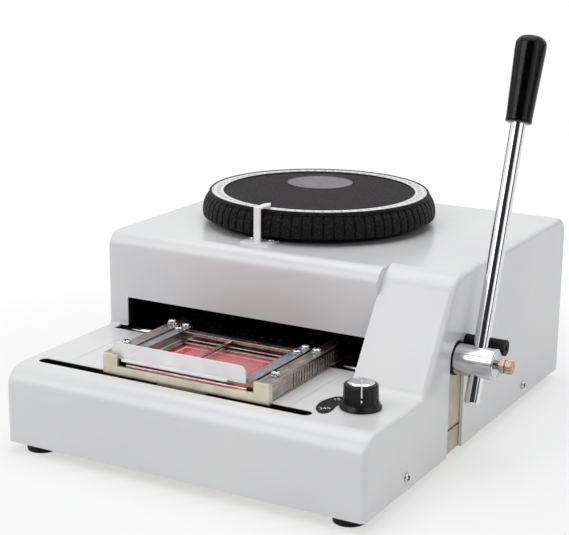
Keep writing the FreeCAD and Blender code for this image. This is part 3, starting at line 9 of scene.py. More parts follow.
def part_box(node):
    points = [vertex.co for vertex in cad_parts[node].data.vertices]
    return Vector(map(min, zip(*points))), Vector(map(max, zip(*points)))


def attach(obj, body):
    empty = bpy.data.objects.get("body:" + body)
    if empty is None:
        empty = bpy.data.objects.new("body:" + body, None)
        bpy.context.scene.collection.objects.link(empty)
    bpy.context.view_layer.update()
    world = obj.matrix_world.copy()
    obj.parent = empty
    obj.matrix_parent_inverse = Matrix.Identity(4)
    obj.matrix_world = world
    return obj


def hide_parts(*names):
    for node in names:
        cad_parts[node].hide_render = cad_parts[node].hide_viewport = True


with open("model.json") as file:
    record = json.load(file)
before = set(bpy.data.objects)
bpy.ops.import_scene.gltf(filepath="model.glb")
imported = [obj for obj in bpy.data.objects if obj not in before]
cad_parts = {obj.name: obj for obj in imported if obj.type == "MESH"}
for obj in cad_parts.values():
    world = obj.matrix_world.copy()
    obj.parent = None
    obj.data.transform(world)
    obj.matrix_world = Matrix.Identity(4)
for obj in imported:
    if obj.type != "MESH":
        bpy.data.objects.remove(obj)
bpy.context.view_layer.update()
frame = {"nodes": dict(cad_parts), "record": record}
nodes = frame["nodes"]

# Sizes below are millimetres in the housing's own frame: x from the middle of the cover, y from
# its front face, z from its lower edge. ORIGIN is where the row's frame has its origin. DIAL, KNOB
# and CARD are places in x and y, and LEVER is its axis in y and z. CHEEK_SLOPE is how far the
# cheek goes back for each millimetre up.
ORIGIN = (20.75, 197.5, -8.0)
HALF_WIDTH = 155
TABLE = 61
WALL_FRONT = 136
CHEEK_LEFT = 95
CHEEK_FOOT = 96
CHEEK_SLOPE = 0.687
SLOT_REAR = 134
DIAL = (-24.0, 265.7)
DIAL_PLACES = 72
KNOB = (122.0, 58.0)
KNOB_BASE = 61.4
KNOB_TOP = 79.4
LEVER = (156.0, 76.0)
LEVER_LEAN = math.radians(19)
CARD = (-12.7, 73)
CARD_HALF = (42.8, 27.0)
AXIS_TURNS = {
    "z": Matrix.Identity(4),
    "x": Matrix.Rotation(math.radians(90), 4, "Y"),
    "-x": Matrix.Rotation(math.radians(-90), 4, "Y"),
}


def place(x, y, z):
    """A point of the housing's frame, in the row's frame and in metres."""
    return Vector((x - ORIGIN[0], y - ORIGIN[1], z - ORIGIN[2])) / 1000


def colour(red, green, blue):
    """A colour as it is seen, from 0 to 255, for a shader."""
    linear = []
    for part in (red, green, blue):
        part /= 255
        linear.append(part / 12.92 if part <= 0.04045 else ((part + 0.055) / 1.055) ** 2.4)
    return (*linear, 1.0)


# Materials
def map_range(tree, source, *limits, smooth=False):
    """Map source from the first two limits to the last two."""
    node = tree.nodes.new("ShaderNodeMapRange")
    if smooth:
        node.interpolation_type = "SMOOTHSTEP"
    for index, number in enumerate(limits, 1):
        node.inputs[index].default_value = number
    tree.links.new(source, node.inputs[0])
    return node.outputs[0]


class Surface:
    """A procedural material, built up from noise in the object's own coordinates."""

    def __init__(self, name, roughness=0.4, metallic=0.0, **settings):
        self.material = bpy.data.materials.new(name)
        self.material.use_nodes = True
        self.tree = self.material.node_tree
        self.shader = self.tree.nodes["Principled BSDF"]
        self.set("Metallic", metallic)
        self.set("Roughness", roughness)
        for socket, value in settings.items():
            self.set(socket.replace("_", " "), value)
        self.coordinates = self.add("ShaderNodeTexCoord").outputs["Object"]

    def set(self, socket, value):
        self.shader.inputs[socket].default_value = value

    def add(self, kind, **settings):
        node = self.tree.nodes.new(kind)
        for key, value in settings.items():
            setattr(node, key, value)
        return node

    def link(self, source, target):
        self.tree.links.new(source, target)

    def feed(self, socket, source):
        self.link(source, self.shader.inputs[socket])

    def stretched(self, scale, centre=(0, 0, 0)):
        """The object's own coordinates, scaled along each axis round a centre."""
        mapping = self.add("ShaderNodeMapping")
        mapping.inputs["Scale"].default_value = scale
        mapping.inputs["Location"].default_value = [-s * c for s, c in zip(scale, centre)]
        self.link(self.coordinates, mapping.inputs["Vector"])
        return mapping.outputs["Vector"]

    def noise(self, scale, detail=3.0, vector=None):
        texture = self.add("ShaderNodeTexNoise")
        texture.inputs["Scale"].default_value = scale
        texture.inputs["Detail"].default_value = detail
        self.link(vector or self.coordinates, texture.inputs["Vector"])
        return texture.outputs["Fac"]

    def cells(self, scale, feature="F1", vector=None):
        texture = self.add("ShaderNodeTexVoronoi", feature=feature)
        texture.inputs["Scale"].default_value = scale
        self.link(vector or self.coordinates, texture.inputs["Vector"])
        return texture.outputs["Distance"]

    def math(self, operation, first, second=None, third=None):
        node = self.add("ShaderNodeMath", operation=operation)
        for index, value in enumerate((first, second, third)):
            if value is None:
                continue
            if isinstance(value, (int, float)):
                node.inputs[index].default_value = value
            else:
                self.link(value, node.inputs[index])
        return node.outputs[0]

    def spread(self, value, low, high, new_low=0.0, new_high=1.0):
        return map_range(self.tree, value, low, high, new_low, new_high)

    def blend(self, factor, first, second):
        node = self.add("ShaderNodeMix", data_type="RGBA")
        self.link(factor, node.inputs["Factor"])
        for socket, value in ((node.inputs[6], first), (node.inputs[7], second)):
            if isinstance(value, tuple):
                socket.default_value = value
            else:
                self.link(value, socket)
        return node.outputs[2]

    def edges(self, radius):
        """Round sharp edges' shading; gives the normal and an edge mask for wear and painted highlight.
        """
        bevel = self.add("ShaderNodeBevel", samples=4)
        bevel.inputs["Radius"].default_value = radius
        geometry = self.add("ShaderNodeNewGeometry")
        dot = self.add("ShaderNodeVectorMath", operation="DOT_PRODUCT")
        self.link(bevel.outputs[0], dot.inputs[0])
        self.link(geometry.outputs["Normal"], dot.inputs[1])
        return bevel.outputs[0], self.spread(dot.outputs["Value"], 0.995, 0.80)

    def bump(self, height, strength, distance, normal=None):
        node = self.add("ShaderNodeBump")
        node.inputs["Strength"].default_value = strength
        node.inputs["Distance"].default_value = distance
        self.link(height, node.inputs["Height"])
        if normal is not None:
            self.link(normal, node.inputs["Normal"])
        return node.outputs["Normal"]


def inside_cover(surface):
    """1 where shade is painted: the cover's inner faces and under its table; 0 outside; from place and
    facing.
    """
    split = surface.add("ShaderNodeSeparateXYZ")
    surface.link(surface.coordinates, split.inputs[0])
    x, y, z = split.outputs
    m = surface.math
    depth = 0.0013
    slope_depth = 0.0016
    low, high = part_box("cover_shell")
    table = place(0, WALL_FRONT, TABLE)
    cheek = place(CHEEK_LEFT, CHEEK_FOOT, TABLE)
    mask = m("GREATER_THAN", x, low.x + depth)
    mask = m("MULTIPLY", mask, m("LESS_THAN", x, high.x - depth))
    mask = m("MULTIPLY", mask, m("GREATER_THAN", y, low.y + depth))
    mask = m("MULTIPLY", mask, m("LESS_THAN", y, high.y - depth))
    mask = m("MULTIPLY", mask, m("LESS_THAN", z, high.z - depth))
    under_table = m("LESS_THAN", z, table.z - depth)
    behind_wall = m("GREATER_THAN", y, table.y + depth)
    slope = m("MULTIPLY_ADD", m("SUBTRACT", z, cheek.z), -CHEEK_SLOPE, m("SUBTRACT", y, cheek.y))
    behind_slope = m("GREATER_THAN", slope, slope_depth)
    in_cheek = m("GREATER_THAN", x, cheek.x + depth)
    stepped = m("MAXIMUM", under_table, behind_wall)
    sloped = m("MAXIMUM", under_table, behind_slope)
    outside_cheek = m("SUBTRACT", 1.0, in_cheek)
    chosen = m("ADD", m("MULTIPLY", in_cheek, sloped), m("MULTIPLY", outside_cheek, stepped))
    hollow_middle = place(0, 250, 30)
    outward = surface.add("ShaderNodeVectorMath", operation="SUBTRACT")
    surface.link(surface.coordinates, outward.inputs[0])
    outward.inputs[1].default_value = hollow_middle
    facing = surface.add("ShaderNodeVectorMath", operation="DOT_PRODUCT")
    surface.link(outward.outputs[0], facing.inputs[0])
    surface.link(surface.add("ShaderNodeNewGeometry").outputs["Normal"], facing.inputs[1])
    inward = m("LESS_THAN", facing.outputs["Value"], 0.0)
    hidden = m("MULTIPLY", m("MULTIPLY", mask, chosen), inward)
    # The faces below the table, from y 20 mm to SLOT_REAR, are painted shade too.
    slot_front = place(0, 20, TABLE - 0.4)
    slot_rear = place(0, SLOT_REAR, 0)
    from_middle = m("ABSOLUTE", m("ADD", x, ORIGIN[0] / 1000))
    edge = m("LESS_THAN", z, slot_front.z)
    edge = m("MULTIPLY", edge, m("GREATER_THAN", y, slot_front.y))
    edge = m("MULTIPLY", edge, m("LESS_THAN", y, slot_rear.y))
    edge = m("MULTIPLY", edge, m("LESS_THAN", from_middle, (HALF_WIDTH - 5) / 1000))
    return m("MAXIMUM", hidden, edge)


def painted_cover():
    """Glossy light-grey paint outside, and painted shade inside: a near-black colour on the inner faces.
    """
    s = Surface("cover_gloss", roughness=0.30, Coat_Weight=0.35, Coat_Roughness=0.14)
    base = s.blend(s.spread(s.noise(9, 4), 0.3, 0.7), colour(224, 224, 226), colour(231, 231, 231))
    # The near-black colour is painted shade, on the inner faces and under the table.
    s.feed("Base Color", s.blend(inside_cover(s), base, colour(26, 25, 25)))
    s.feed("Roughness", s.spread(s.noise(60, 5), 0.3, 0.7, 0.29, 0.37))
    s.feed("Normal", s.bump(s.noise(420, 2), 0.05, 0.0004))
    return s.material


def paint(name, dark, light, roughness=0.45, grain=500, coat=0.0):
    """Paint between two tones, lighter at its edges, as wear and as a painted highlight."""
    s = Surface(name, roughness=roughness, Coat_Weight=coat, Coat_Roughness=0.2)
    normal, wear_and_highlight = s.edges(0.0005)
    base = s.blend(s.spread(s.noise(70, 5), 0.3, 0.7), colour(*dark), colour(*light))
    lifted = tuple(min(255, value + 22) for value in light)
    s.feed("Base Color", s.blend(s.math("MULTIPLY", wear_and_highlight, 0.6), base, colour(*lifted)))
    s.feed("Roughness", s.spread(s.noise(130, 4), 0.3, 0.7, roughness - 0.06, roughness + 0.08))
    s.feed("Normal", s.bump(s.noise(grain, 3), 0.15, 0.0003, normal))
    return s.material


def metal(name, dark, light, roughness=0.25, streak=(40, 900, 900), strength=0.10):
    """Bare metal with a grain that is drawn out along one axis."""
    s = Surface(name, roughness=roughness, metallic=1.0)
    normal, wear_and_highlight = s.edges(0.0004)
    grain = s.noise(1.0, 4, s.stretched(streak))
    cloud = s.noise(90, 4)
    mixed = s.math("ADD", s.math("MULTIPLY", grain, 0.55), s.math("MULTIPLY", cloud, 0.45))
    base = s.blend(s.spread(mixed, 0.36, 0.64), colour(*dark), colour(*light))
    # The edges are painted lighter, as wear and as a painted highlight.
    lifted = tuple(min(255, value + 30) for value in light)
    s.feed("Base Color", s.blend(s.math("MULTIPLY", wear_and_highlight, 0.7), base, colour(*lifted)))
    s.feed("Roughness", s.spread(mixed, 0.35, 0.65, roughness * 0.75, roughness * 1.3))
    s.feed("Normal", s.bump(grain, strength, 0.0002, normal))
    return s.material


def moulded(name, dark, light, roughness=0.4, cell=1400, depth=0.0003, strength=0.5, shine=0.2):
    """Black plastic or rubber with a fine pebbled skin."""
    s = Surface(name, roughness=roughness, Specular_IOR_Level=shine)
    normal, wear_and_highlight = s.edges(0.0006)
    pebble = s.cells(cell)
    base = s.blend(s.spread(s.noise(cell * 0.6, 4), 0.35, 0.7), colour(*dark), colour(*light))
    # The edges are painted lighter, as wear and as a painted highlight.
    lifted = tuple(min(255, value + 26) for value in light)
    s.feed("Base Color", s.blend(s.math("MULTIPLY", wear_and_highlight, 0.5), base, colour(*lifted)))
    s.feed("Roughness", s.spread(s.noise(300, 4), 0.3, 0.7, roughness - 0.08, roughness + 0.10))
    s.feed("Normal", s.bump(pebble, strength, depth, normal))
    return s.material


def leather_disc():
    """Black disc with a fine leather grain."""
    s = Surface("dial_grain", roughness=0.55, Specular_IOR_Level=0.08)
    creases = s.cells(520, "DISTANCE_TO_EDGE")
    pores = s.spread(s.noise(520, 2), 0.36, 0.64)
    tone = s.math("ADD", s.spread(creases, 0.0, 0.25, 0.0, 0.4), s.math("MULTIPLY", pores, 0.7))
    s.feed("Base Color", s.blend(s.spread(tone, 0.3, 0.9), colour(4, 3, 4), colour(46, 41, 45)))
    s.feed("Roughness", s.spread(pores, 0.3, 0.7, 0.48, 0.66))
    s.feed("Normal", s.bump(tone, 0.6, 0.0004))
    return s.material


def grained_rib():
    """Black ribs with a coarse leather grain, whose high spots get painted highlights."""
    s = Surface("black_plastic", roughness=0.5, Specular_IOR_Level=0.14)
    normal, wear_and_highlight = s.edges(0.0008)
    creases = s.cells(620, "DISTANCE_TO_EDGE")
    highlight_specks = s.noise(760, 3)
    base = s.blend(s.spread(s.noise(160, 4), 0.35, 0.7), colour(2, 2, 2), colour(15, 15, 14))
    # The light specks are painted highlights on the grain.
    base = s.blend(s.spread(highlight_specks, 0.52, 0.68, 0, 0.75), base, colour(56, 56, 54))
    # The edges are painted lighter, as wear and as a painted highlight.
    s.feed("Base Color", s.blend(s.math("MULTIPLY", wear_and_highlight, 0.5), base, colour(62, 62, 60)))
    s.feed("Roughness", s.spread(highlight_specks, 0.3, 0.7, 0.62, 0.38))
    height = s.math("ADD", s.spread(creases, 0.0, 0.2, 0.0, 0.7), s.math("MULTIPLY", highlight_specks, 0.5))
    s.feed("Normal", s.bump(height, 0.9, 0.0006, normal))
    return s.material


def spun(name, tone, centre, rings=1500, roughness=0.22):
    """Turned metal with fine rings round a vertical centre."""
    s = Surface(name, roughness=roughness, metallic=1.0)
    normal, wear_and_highlight = s.edges(0.0004)
    wave = s.add("ShaderNodeTexWave", wave_type="RINGS", rings_direction="Z")
    wave.inputs["Scale"].default_value = rings
    wave.inputs["Distortion"].default_value = 1.5
    middle = place(centre[0], centre[1], 0)
    s.link(s.stretched((1, 1, 1), (middle.x, middle.y, 0)), wave.inputs["Vector"])
    darker = tuple(value - 45 for value in tone)
    s.feed("Base Color", s.blend(wave.outputs["Fac"], colour(*darker), colour(*tone)))
    s.feed("Roughness", s.spread(s.noise(200, 3), 0.3, 0.7, roughness * 0.8, roughness * 1.4))
    s.feed("Normal", s.bump(wave.outputs["Fac"], 0.12, 0.0001, normal))
    return s.material


def chrome():
    """Bright plating with a faint haze and drawing marks along its height."""
    s = Surface("chrome", roughness=0.07, metallic=1.0)
    haze = s.noise(260, 5)
    s.feed("Base Color", s.blend(haze, colour(206, 206, 208), colour(236, 236, 238)))
    s.feed("Roughness", s.spread(haze, 0.35, 0.7, 0.04, 0.11))
    s.feed("Normal", s.bump(s.noise(1.0, 2, s.stretched((900, 900, 60))), 0.03, 0.0001))
    return s.material


def yellow_zinc(name, dark, light):
    """Passivated zinc, cloudy and with a trace of pink."""
    s = Surface(name, roughness=0.32, metallic=0.75)
    normal, wear_and_highlight = s.edges(0.0004)
    cloud = s.noise(55, 6)
    base = s.blend(s.spread(cloud, 0.3, 0.7), colour(*dark), colour(*light))
    tint = s.noise(24, 2)
    base = s.blend(s.spread(tint, 0.55, 0.75, 0, 0.35), base, colour(208, 190, 196))
    # The edges are painted lighter, as wear and as a painted highlight.
    s.feed("Base Color", s.blend(s.math("MULTIPLY", wear_and_highlight, 0.5), base, colour(250, 246, 226)))
    s.feed("Roughness", s.spread(cloud, 0.3, 0.7, 0.26, 0.42))
    s.feed("Normal", s.bump(s.noise(700, 3), 0.08, 0.0002, normal))
    return s.material


def printed_card():
    """Red card with a pale border line and a grid of pale dots, drawn from its own coordinates."""
    s = Surface("card_red", roughness=0.24, Coat_Weight=0.5, Coat_Roughness=0.08)
    split = s.add("ShaderNodeSeparateXYZ")
    s.link(s.coordinates, split.inputs[0])
    m = s.math
    middle = place(*CARD, 0)
    dots_per_metre = 520.0
    dot_radius = 0.31
    border = 0.0042
    half_line = 0.0006
    dots_from_edge = 0.0065
    dots_from_middle = -0.030
    across = m("SUBTRACT", split.outputs[0], middle.x)
    deep = m("SUBTRACT", split.outputs[1], middle.y)
    from_edge_x = m("SUBTRACT", CARD_HALF[0] / 1000, m("ABSOLUTE", across))
    from_edge_y = m("SUBTRACT", CARD_HALF[1] / 1000, m("ABSOLUTE", deep))
    margin = m("MINIMUM", from_edge_x, from_edge_y)
    line = m("COMPARE", margin, border, half_line)
    cell_x = m("SUBTRACT", m("FRACT", m("MULTIPLY", across, dots_per_metre)), 0.5)
    cell_y = m("SUBTRACT", m("FRACT", m("MULTIPLY", deep, dots_per_metre)), 0.5)
    radius = m("SQRT", m("ADD", m("MULTIPLY", cell_x, cell_x), m("MULTIPLY", cell_y, cell_y)))
    dots = m("MULTIPLY", m("LESS_THAN", radius, dot_radius), m("GREATER_THAN", margin, dots_from_edge))
    dots = m("MULTIPLY", dots, m("GREATER_THAN", across, dots_from_middle))
    red = s.blend(s.spread(s.noise(40, 3), 0.3, 0.7), colour(186, 30, 46), colour(206, 48, 66))
    red = s.blend(m("MULTIPLY", dots, 0.85), red, colour(250, 214, 218))
    s.feed("Base Color", s.blend(line, red, colour(250, 200, 186)))
    s.feed("Roughness", s.spread(s.noise(500, 3), 0.3, 0.7, 0.20, 0.30))
    s.feed("Normal", s.bump(s.noise(900, 2), 0.05, 0.0001))
    return s.material


skins = {
    "cover_gloss": painted_cover(),
    "beige_paint": paint("beige_paint", (196, 182, 158), (208, 195, 172), 0.42, coat=0.2),
    "black_rubber": moulded("black_rubber", (9, 9, 9), (20, 20, 20), 0.60, 1800, 0.0002, 0.4),
    "zinc_screw": metal("zinc_screw", (176, 176, 178), (226, 226, 228), 0.16, (400, 400, 400)),
    "cast_frame": paint("cast_frame", (52, 50, 48), (70, 67, 64), 0.6, 900),
    "tool_steel": metal("tool_steel", (84, 84, 88), (128, 128, 132), 0.30),
    "bronze": metal("bronze", (132, 108, 94), (200, 178, 162), 0.28, (500, 500, 500)),
    "chrome": chrome(),
    "bright_rod": metal("bright_rod", (176, 176, 178), (218, 218, 220), 0.18, (30, 1200, 1200)),
    "white_enamel": paint("white_enamel", (242, 239, 241), (251, 250, 250), 0.36, 700, coat=0.4),
    "black_plastic": grained_rib(),
    "dial_grain": leather_disc(),
    "character_white": paint("character_white", (226, 226, 227), (240, 240, 240), 0.38, 1500),
    "badge_grey": paint("badge_grey", (74, 66, 76), (92, 82, 93), 0.40, 1200, coat=0.15),
    "disc_alloy": spun("disc_alloy", (120, 120, 120), DIAL, 500, 0.40),
    "brown_steel": metal("brown_steel", (134, 122, 119), (206, 195, 190), 0.24, (900, 40, 900), 0.12),
    "yellow_zinc": yellow_zinc("yellow_zinc", (198, 193, 166), (232, 227, 206)),
    "light_zinc": metal("light_zinc", (136, 142, 148), (194, 199, 205), 0.30, (900, 30, 900)),
    "tray_brown": metal("tray_brown", (112, 84, 78), (172, 138, 132), 0.28, (40, 900, 900)),
    "card_red": printed_card(),
    "knob_black": moulded("knob_black", (3, 3, 3), (9, 9, 9), 0.24, 2200, 0.0001, 0.2, 0.26),
    "cap_alloy": spun("cap_alloy", (232, 232, 234), KNOB, 1800, 0.22),
    "label_black": moulded("label_black", (8, 8, 8), (18, 18, 18), 0.45, 2600, 0.0001, 0.3),
    "spring_steel": metal("spring_steel", (120, 120, 124), (170, 170, 174), 0.25, (500, 500, 500)),
}
for part in frame["record"]["subparts"]:
    material = skins[part["material_slot"]]
    slots = nodes[part["node"]].data.materials
    if len(slots) == 0:
        slots.append(material)
    for index in range(len(slots)):
        slots[index] = material

nodes["tray_clamps"].data.materials[0] = metal("clamp_steel", (130, 112, 108), (206, 186, 180), 0.26)
grip_skin = moulded("hand_grip_skin", (2, 2, 2), (7, 7, 7), 0.16, 2600, 0.00005, 0.12, 0.20)
nodes["lever_grip"].data.materials[0] = grip_skin
ink = paint("ring_ink", (70, 70, 72), (96, 96, 98), 0.5, 1500)
white_ink = paint("white_ink", (232, 232, 232), (246, 246, 246), 0.4, 1500)
# The near-black metal of the screws' cross recesses is painted shade.
recess_painted_shade = metal("screw_recess_painted_shade", (14, 14, 14), (34, 34, 35), 0.5, (400, 400, 400))


# Pieces
def piece(name, mesh_maker, material, body, smooth=True):
    """Make one object from a bmesh and tie it to its body and material slot."""
    mesh = bpy.data.meshes.new(name)
    work = bmesh.new()
    mesh_maker(work)
    bmesh.ops.recalc_face_normals(work, faces=work.faces)
    work.to_mesh(mesh)
    work.free()
    made = bpy.data.objects.new(name, mesh)
    bpy.context.scene.collection.objects.link(made)
    mesh.materials.append(material)
    if smooth:
        mesh.shade_smooth()
        mesh.set_sharp_from_angle(angle=math.radians(35))
    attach(made, body)
    return made


def lathe(work, profile, axis_place, axis="z", steps=96, lean=0.0):
    """Sweep (radius, height) points in mm round an axis through a place in mm."""
    lay = Matrix.Translation(place(*axis_place)) @ Matrix.Rotation(-lean, 4, "X") @ AXIS_TURNS[axis]
    rings = []
    for step in range(steps):
        angle = 2 * math.pi * step / steps
        ring = []
        for radius, height in profile:
            spot = Vector((radius * math.cos(angle), radius * math.sin(angle), height)) / 1000
            ring.append(work.verts.new(lay @ spot))
        rings.append(ring)
    for step in range(steps):
        here = rings[step]
        after = rings[(step + 1) % steps]
        for k in range(len(profile) - 1):
            work.faces.new([here[k], after[k], after[k + 1], here[k + 1]])
    bmesh.ops.remove_doubles(work, verts=work.verts, dist=1e-7)


def slab(work, corners, low, high, bevel=0.0, lay=place):
    """A prism from (x, y) corners in mm between two heights, with its edges bevelled."""
    bottom = [work.verts.new(lay(x, y, low)) for x, y in corners]
    top = [work.verts.new(lay(x, y, high)) for x, y in corners]
    count = len(corners)
    faces = [work.faces.new(bottom[::-1]), work.faces.new(top)]
    for k in range(count):
        after = (k + 1) % count
        faces.append(work.faces.new([bottom[k], bottom[after], top[after], top[k]]))
    if bevel:
        edges = list({edge for face in faces for edge in face.edges})
        bmesh.ops.bevel(work, geom=edges, offset=bevel / 1000, segments=2, profile=0.6, affect="EDGES")


def block(work, x, y, z, bevel=0.2):
    """A box between two values of x, y and z in mm, with its edges bevelled."""
    slab(work, [(x[0], y[0]), (x[1], y[0]), (x[1], y[1]), (x[0], y[1])], z[0], z[1], bevel)


def flat_text(body, size, resolution=12):
    """The mesh of a centred text, size metres high."""
    text = bpy.data.curves.new("figure", "FONT")
    text.body = body
    text.size = size
    text.align_x = "CENTER"
    text.align_y = "CENTER"
    text.resolution_u = resolution
    holder = bpy.data.objects.new("figure", text)
    bpy.context.scene.collection.objects.link(holder)
    bpy.context.view_layer.update()
    shown = holder.evaluated_get(bpy.context.evaluated_depsgraph_get())
    flat = bpy.data.meshes.new_from_object(shown)
    bpy.data.objects.remove(holder)
    bpy.data.curves.remove(text)
    return flat


# Screws: a domed head with a cross recess on a toothed washer, made once and copied
SCREW_STEPS = 32


def screw_profile(radius, height, washer):
    """The outline of a screw's washer and head, as (radius, height) from the seat up."""
    profile = []
    if washer:
        rim = radius * 1.16
        neck = radius * 0.86
        chamfer = 0.12
        profile += [(0.4, 0), (radius * 1.12, 0), (rim, chamfer), (rim, washer - chamfer)]
        profile += [(radius * 1.12, washer), (neck, washer + 0.02), (neck, washer + 0.22)]
    side_top = washer + height * 0.45
    profile += [(radius * 0.98, washer + 0.24), (radius, washer + 0.4), (radius * 0.98, side_top)]
    for step in range(7):
        angle = math.radians(12 + 78 * step / 6)
        dome = height * 0.55 * math.sin(angle)
        profile.append((radius * 0.97 * math.cos(angle), side_top + dome))
    profile[-1] = (0.01, washer + height)
    return profile


def screw_head(radius, height, washer):
    """The mesh of one screw head; its second material is the recess, in near-black metal as painted
    shade.
    """
    profile = screw_profile(radius, height, washer)
    work = bmesh.new()
    rings = []
    for index in range(SCREW_STEPS):
        angle = 2 * math.pi * index / SCREW_STEPS
        ring = []
        for r, z in profile:
            if z < washer and r > radius and index % 4 < 2:
                r *= 0.86
            spot = Vector((r * math.cos(angle), r * math.sin(angle), z)) / 1000
            ring.append(work.verts.new(spot))
        rings.append(ring)
    for index, here in enumerate(rings):
        after = rings[(index + 1) % SCREW_STEPS]
        for k in range(len(profile) - 1):
            work.faces.new([here[k], after[k], after[k + 1], here[k + 1]])
    bmesh.ops.remove_doubles(work, verts=work.verts, dist=2e-5)
    open_edges = [edge for edge in work.edges if edge.is_boundary]
    if open_edges:
        bmesh.ops.holes_fill(work, edges=open_edges)
    bmesh.ops.recalc_face_normals(work, faces=work.faces)
    head = bpy.data.meshes.new("screw_head")
    work.to_mesh(head)
    work.free()

    tool = bmesh.new()
    size = Matrix.Diagonal((radius * 1.44 / 1000, radius * 0.40 / 1000, height * 0.9 / 1000, 1))
    move = Matrix.Translation((0, 0, (washer + height * 1.05) / 1000))
    for turn in (0, math.pi / 2):
        bmesh.ops.create_cube(tool, size=1.0, matrix=move @ Matrix.Rotation(turn, 4, "Z") @ size)
    for face in tool.faces:
        face.material_index = 1
    cross = bpy.data.meshes.new("screw_cross")
    tool.to_mesh(cross)
    tool.free()
    for mesh in (head, cross):
        mesh.materials.append(skins["zinc_screw"])
        mesh.materials.append(recess_painted_shade)
    body = bpy.data.objects.new("screw_body", head)
    cutter = bpy.data.objects.new("screw_cutter", cross)
    for item in (body, cutter):
        bpy.context.scene.collection.objects.link(item)
    modifier = body.modifiers.new("recess", "BOOLEAN")
    modifier.object = cutter
    modifier.solver = "EXACT"
    modifier.use_self = True
    modifier.material_mode = "INDEX"
    bpy.context.view_layer.update()
    shown = body.evaluated_get(bpy.context.evaluated_depsgraph_get())
    done = bpy.data.meshes.new_from_object(shown)
    for item in (body, cutter):
        bpy.data.objects.remove(item)
    return done


def screws(name, places, shape, body, replaced, others=()):
    """Copies of a screw head in one object; each place is (x, y, z, turn), facing up unless in others."""

    def build(work):
        for direction, spots in (("z", places), *others):
            for x, y, z, turn in spots:
                lay = Matrix.Translation(place(x, y, z)) @ AXIS_TURNS[direction]
                copy = shape.copy()
                copy.transform(lay @ Matrix.Rotation(turn, 4, "Z"))
                work.from_mesh(copy)
                bpy.data.meshes.remove(copy)

    made = piece(name, build, skins["zinc_screw"], body)
    # The second material paints the recesses in shade.
    made.data.materials.append(recess_painted_shade)
    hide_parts(replaced)
    return made


RAIL_TOP = 76
STRIP_TOP = 75
POINTER_FOOT_TOP = 142.5
rail_spots = [
    (-80.6, 56, RAIL_TOP, 0.3),
    (-80.6, 121, RAIL_TOP, 1.1),
    (56.5, 50, RAIL_TOP, 0.7),
    (56.5, 113.5, RAIL_TOP, 0.1),
]
tray_spots = [
    (-68.1, 111.6, STRIP_TOP, 0.5),
    (-68.1, 122, STRIP_TOP, 1.3),
    (42.8, 107, STRIP_TOP, 0.2),
    (42.8, 120.8, STRIP_TOP, 0.9),
]
pointer_spots = [(-34, 171.2, POINTER_FOOT_TOP, 0.2), (-17, 171.2, POINTER_FOOT_TOP, 0.8)]
right_spots = [(HALF_WIDTH, 68, 10.5, 0.4), (HALF_WIDTH, 304, 10.5, 0.9)]
left_spots = [(-x, y, z, turn) for x, y, z, turn in right_spots]
side_spots = (("x", right_spots), ("-x", left_spots))
screws("rail_screw_heads", rail_spots, screw_head(3.7, 2.9, 0.9), "carriage", "rail_screws")
screws("tray_screw_heads", tray_spots, screw_head(3.6, 2.4, 0.7), "tray", "tray_screws")
flat_head = screw_head(3.5, 2.3, 0.0)
screws("cover_screw_heads", pointer_spots, flat_head, "housing", "pan_screws", side_spots)


# Dial
RING_TOP = 167.74
GRIP_EDGE = 92.7
GRIP = [
    (88, 147.0), (98.4, 147.0), (100.0, 147.9), (100.45, 150.0), (100.3, 153.4), (99.7, 156.8),
    (98.6, 160.0), (97.0, 162.9), (95.0, 165.2), (GRIP_EDGE, 166.7), (91.0, 166.7),
]


def grip_ribs(work):
    """The dial's rounded grip, with grooves between its ribs that fade out at its inner edges."""
    across = (0.0, 0.055, 0.09, 0.14, 0.5, 0.86, 0.91, 0.945)
    depth = (1.7, 1.5, 0.5, 0.12, 0.0, 0.12, 0.5, 1.5)
    fade = 2.2
    middle = place(*DIAL, 0)
    rings = []
    for rib in range(DIAL_PLACES):
        for share, cut in zip(across, depth):
            angle = 2 * math.pi * (rib + share) / DIAL_PLACES
            ring = []
            for radius, height in GRIP:
                radius -= cut * min(1, max(0, (radius - GRIP_EDGE) / fade))
                spot = Vector((radius * math.cos(angle), radius * math.sin(angle), height)) / 1000
                ring.append(work.verts.new(middle + spot))
            rings.append(ring)
    for index, here in enumerate(rings):
        after = rings[(index + 1) % len(rings)]
        for k in range(len(GRIP) - 1):
            work.faces.new([here[k], after[k], after[k + 1], here[k + 1]])


ribs = piece("grip_ribs", grip_ribs, skins["black_plastic"], "dial")
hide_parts("grip_ring")


def dial_numbers(work):
    """Plain numbers and ticks round the white ring."""
    number_radius = 86.8
    tick_radius = 92.3
    step = 2 * math.pi / DIAL_PLACES
    middle = Matrix.Translation(place(*DIAL, RING_TOP))
    for index in range(DIAL_PLACES):
        flat = flat_text(str(index), 0.0048, 2)
        spin = middle @ Matrix.Rotation(step * index, 4, "Z")
        flat.transform(spin @ Matrix.Translation((0, -number_radius / 1000, 0)))
        work.from_mesh(flat)
        bpy.data.meshes.remove(flat)
        for offset, length, width in ((0, 1.7, 0.36), (step / 2, 1.1, 0.22)):
            spin = middle @ Matrix.Rotation(step * index + offset, 4, "Z")
            outer = -tick_radius
            inner = length - tick_radius
            half = width / 2
            corners = [(-half, outer), (half, outer), (half, inner), (-half, inner)]
            work.faces.new([work.verts.new(spin @ (Vector((x, y, 0)) / 1000)) for x, y in corners])


piece("dial_numbers", dial_numbers, ink, "dial", smooth=False)


def turned_piece(name, profile, centre, steps, slot, body="dial"):
    """A ring round a vertical axis, in its slot's own material."""
    piece(name, lambda work: lathe(work, profile, (*centre, 0), steps=steps), skins[slot], body)


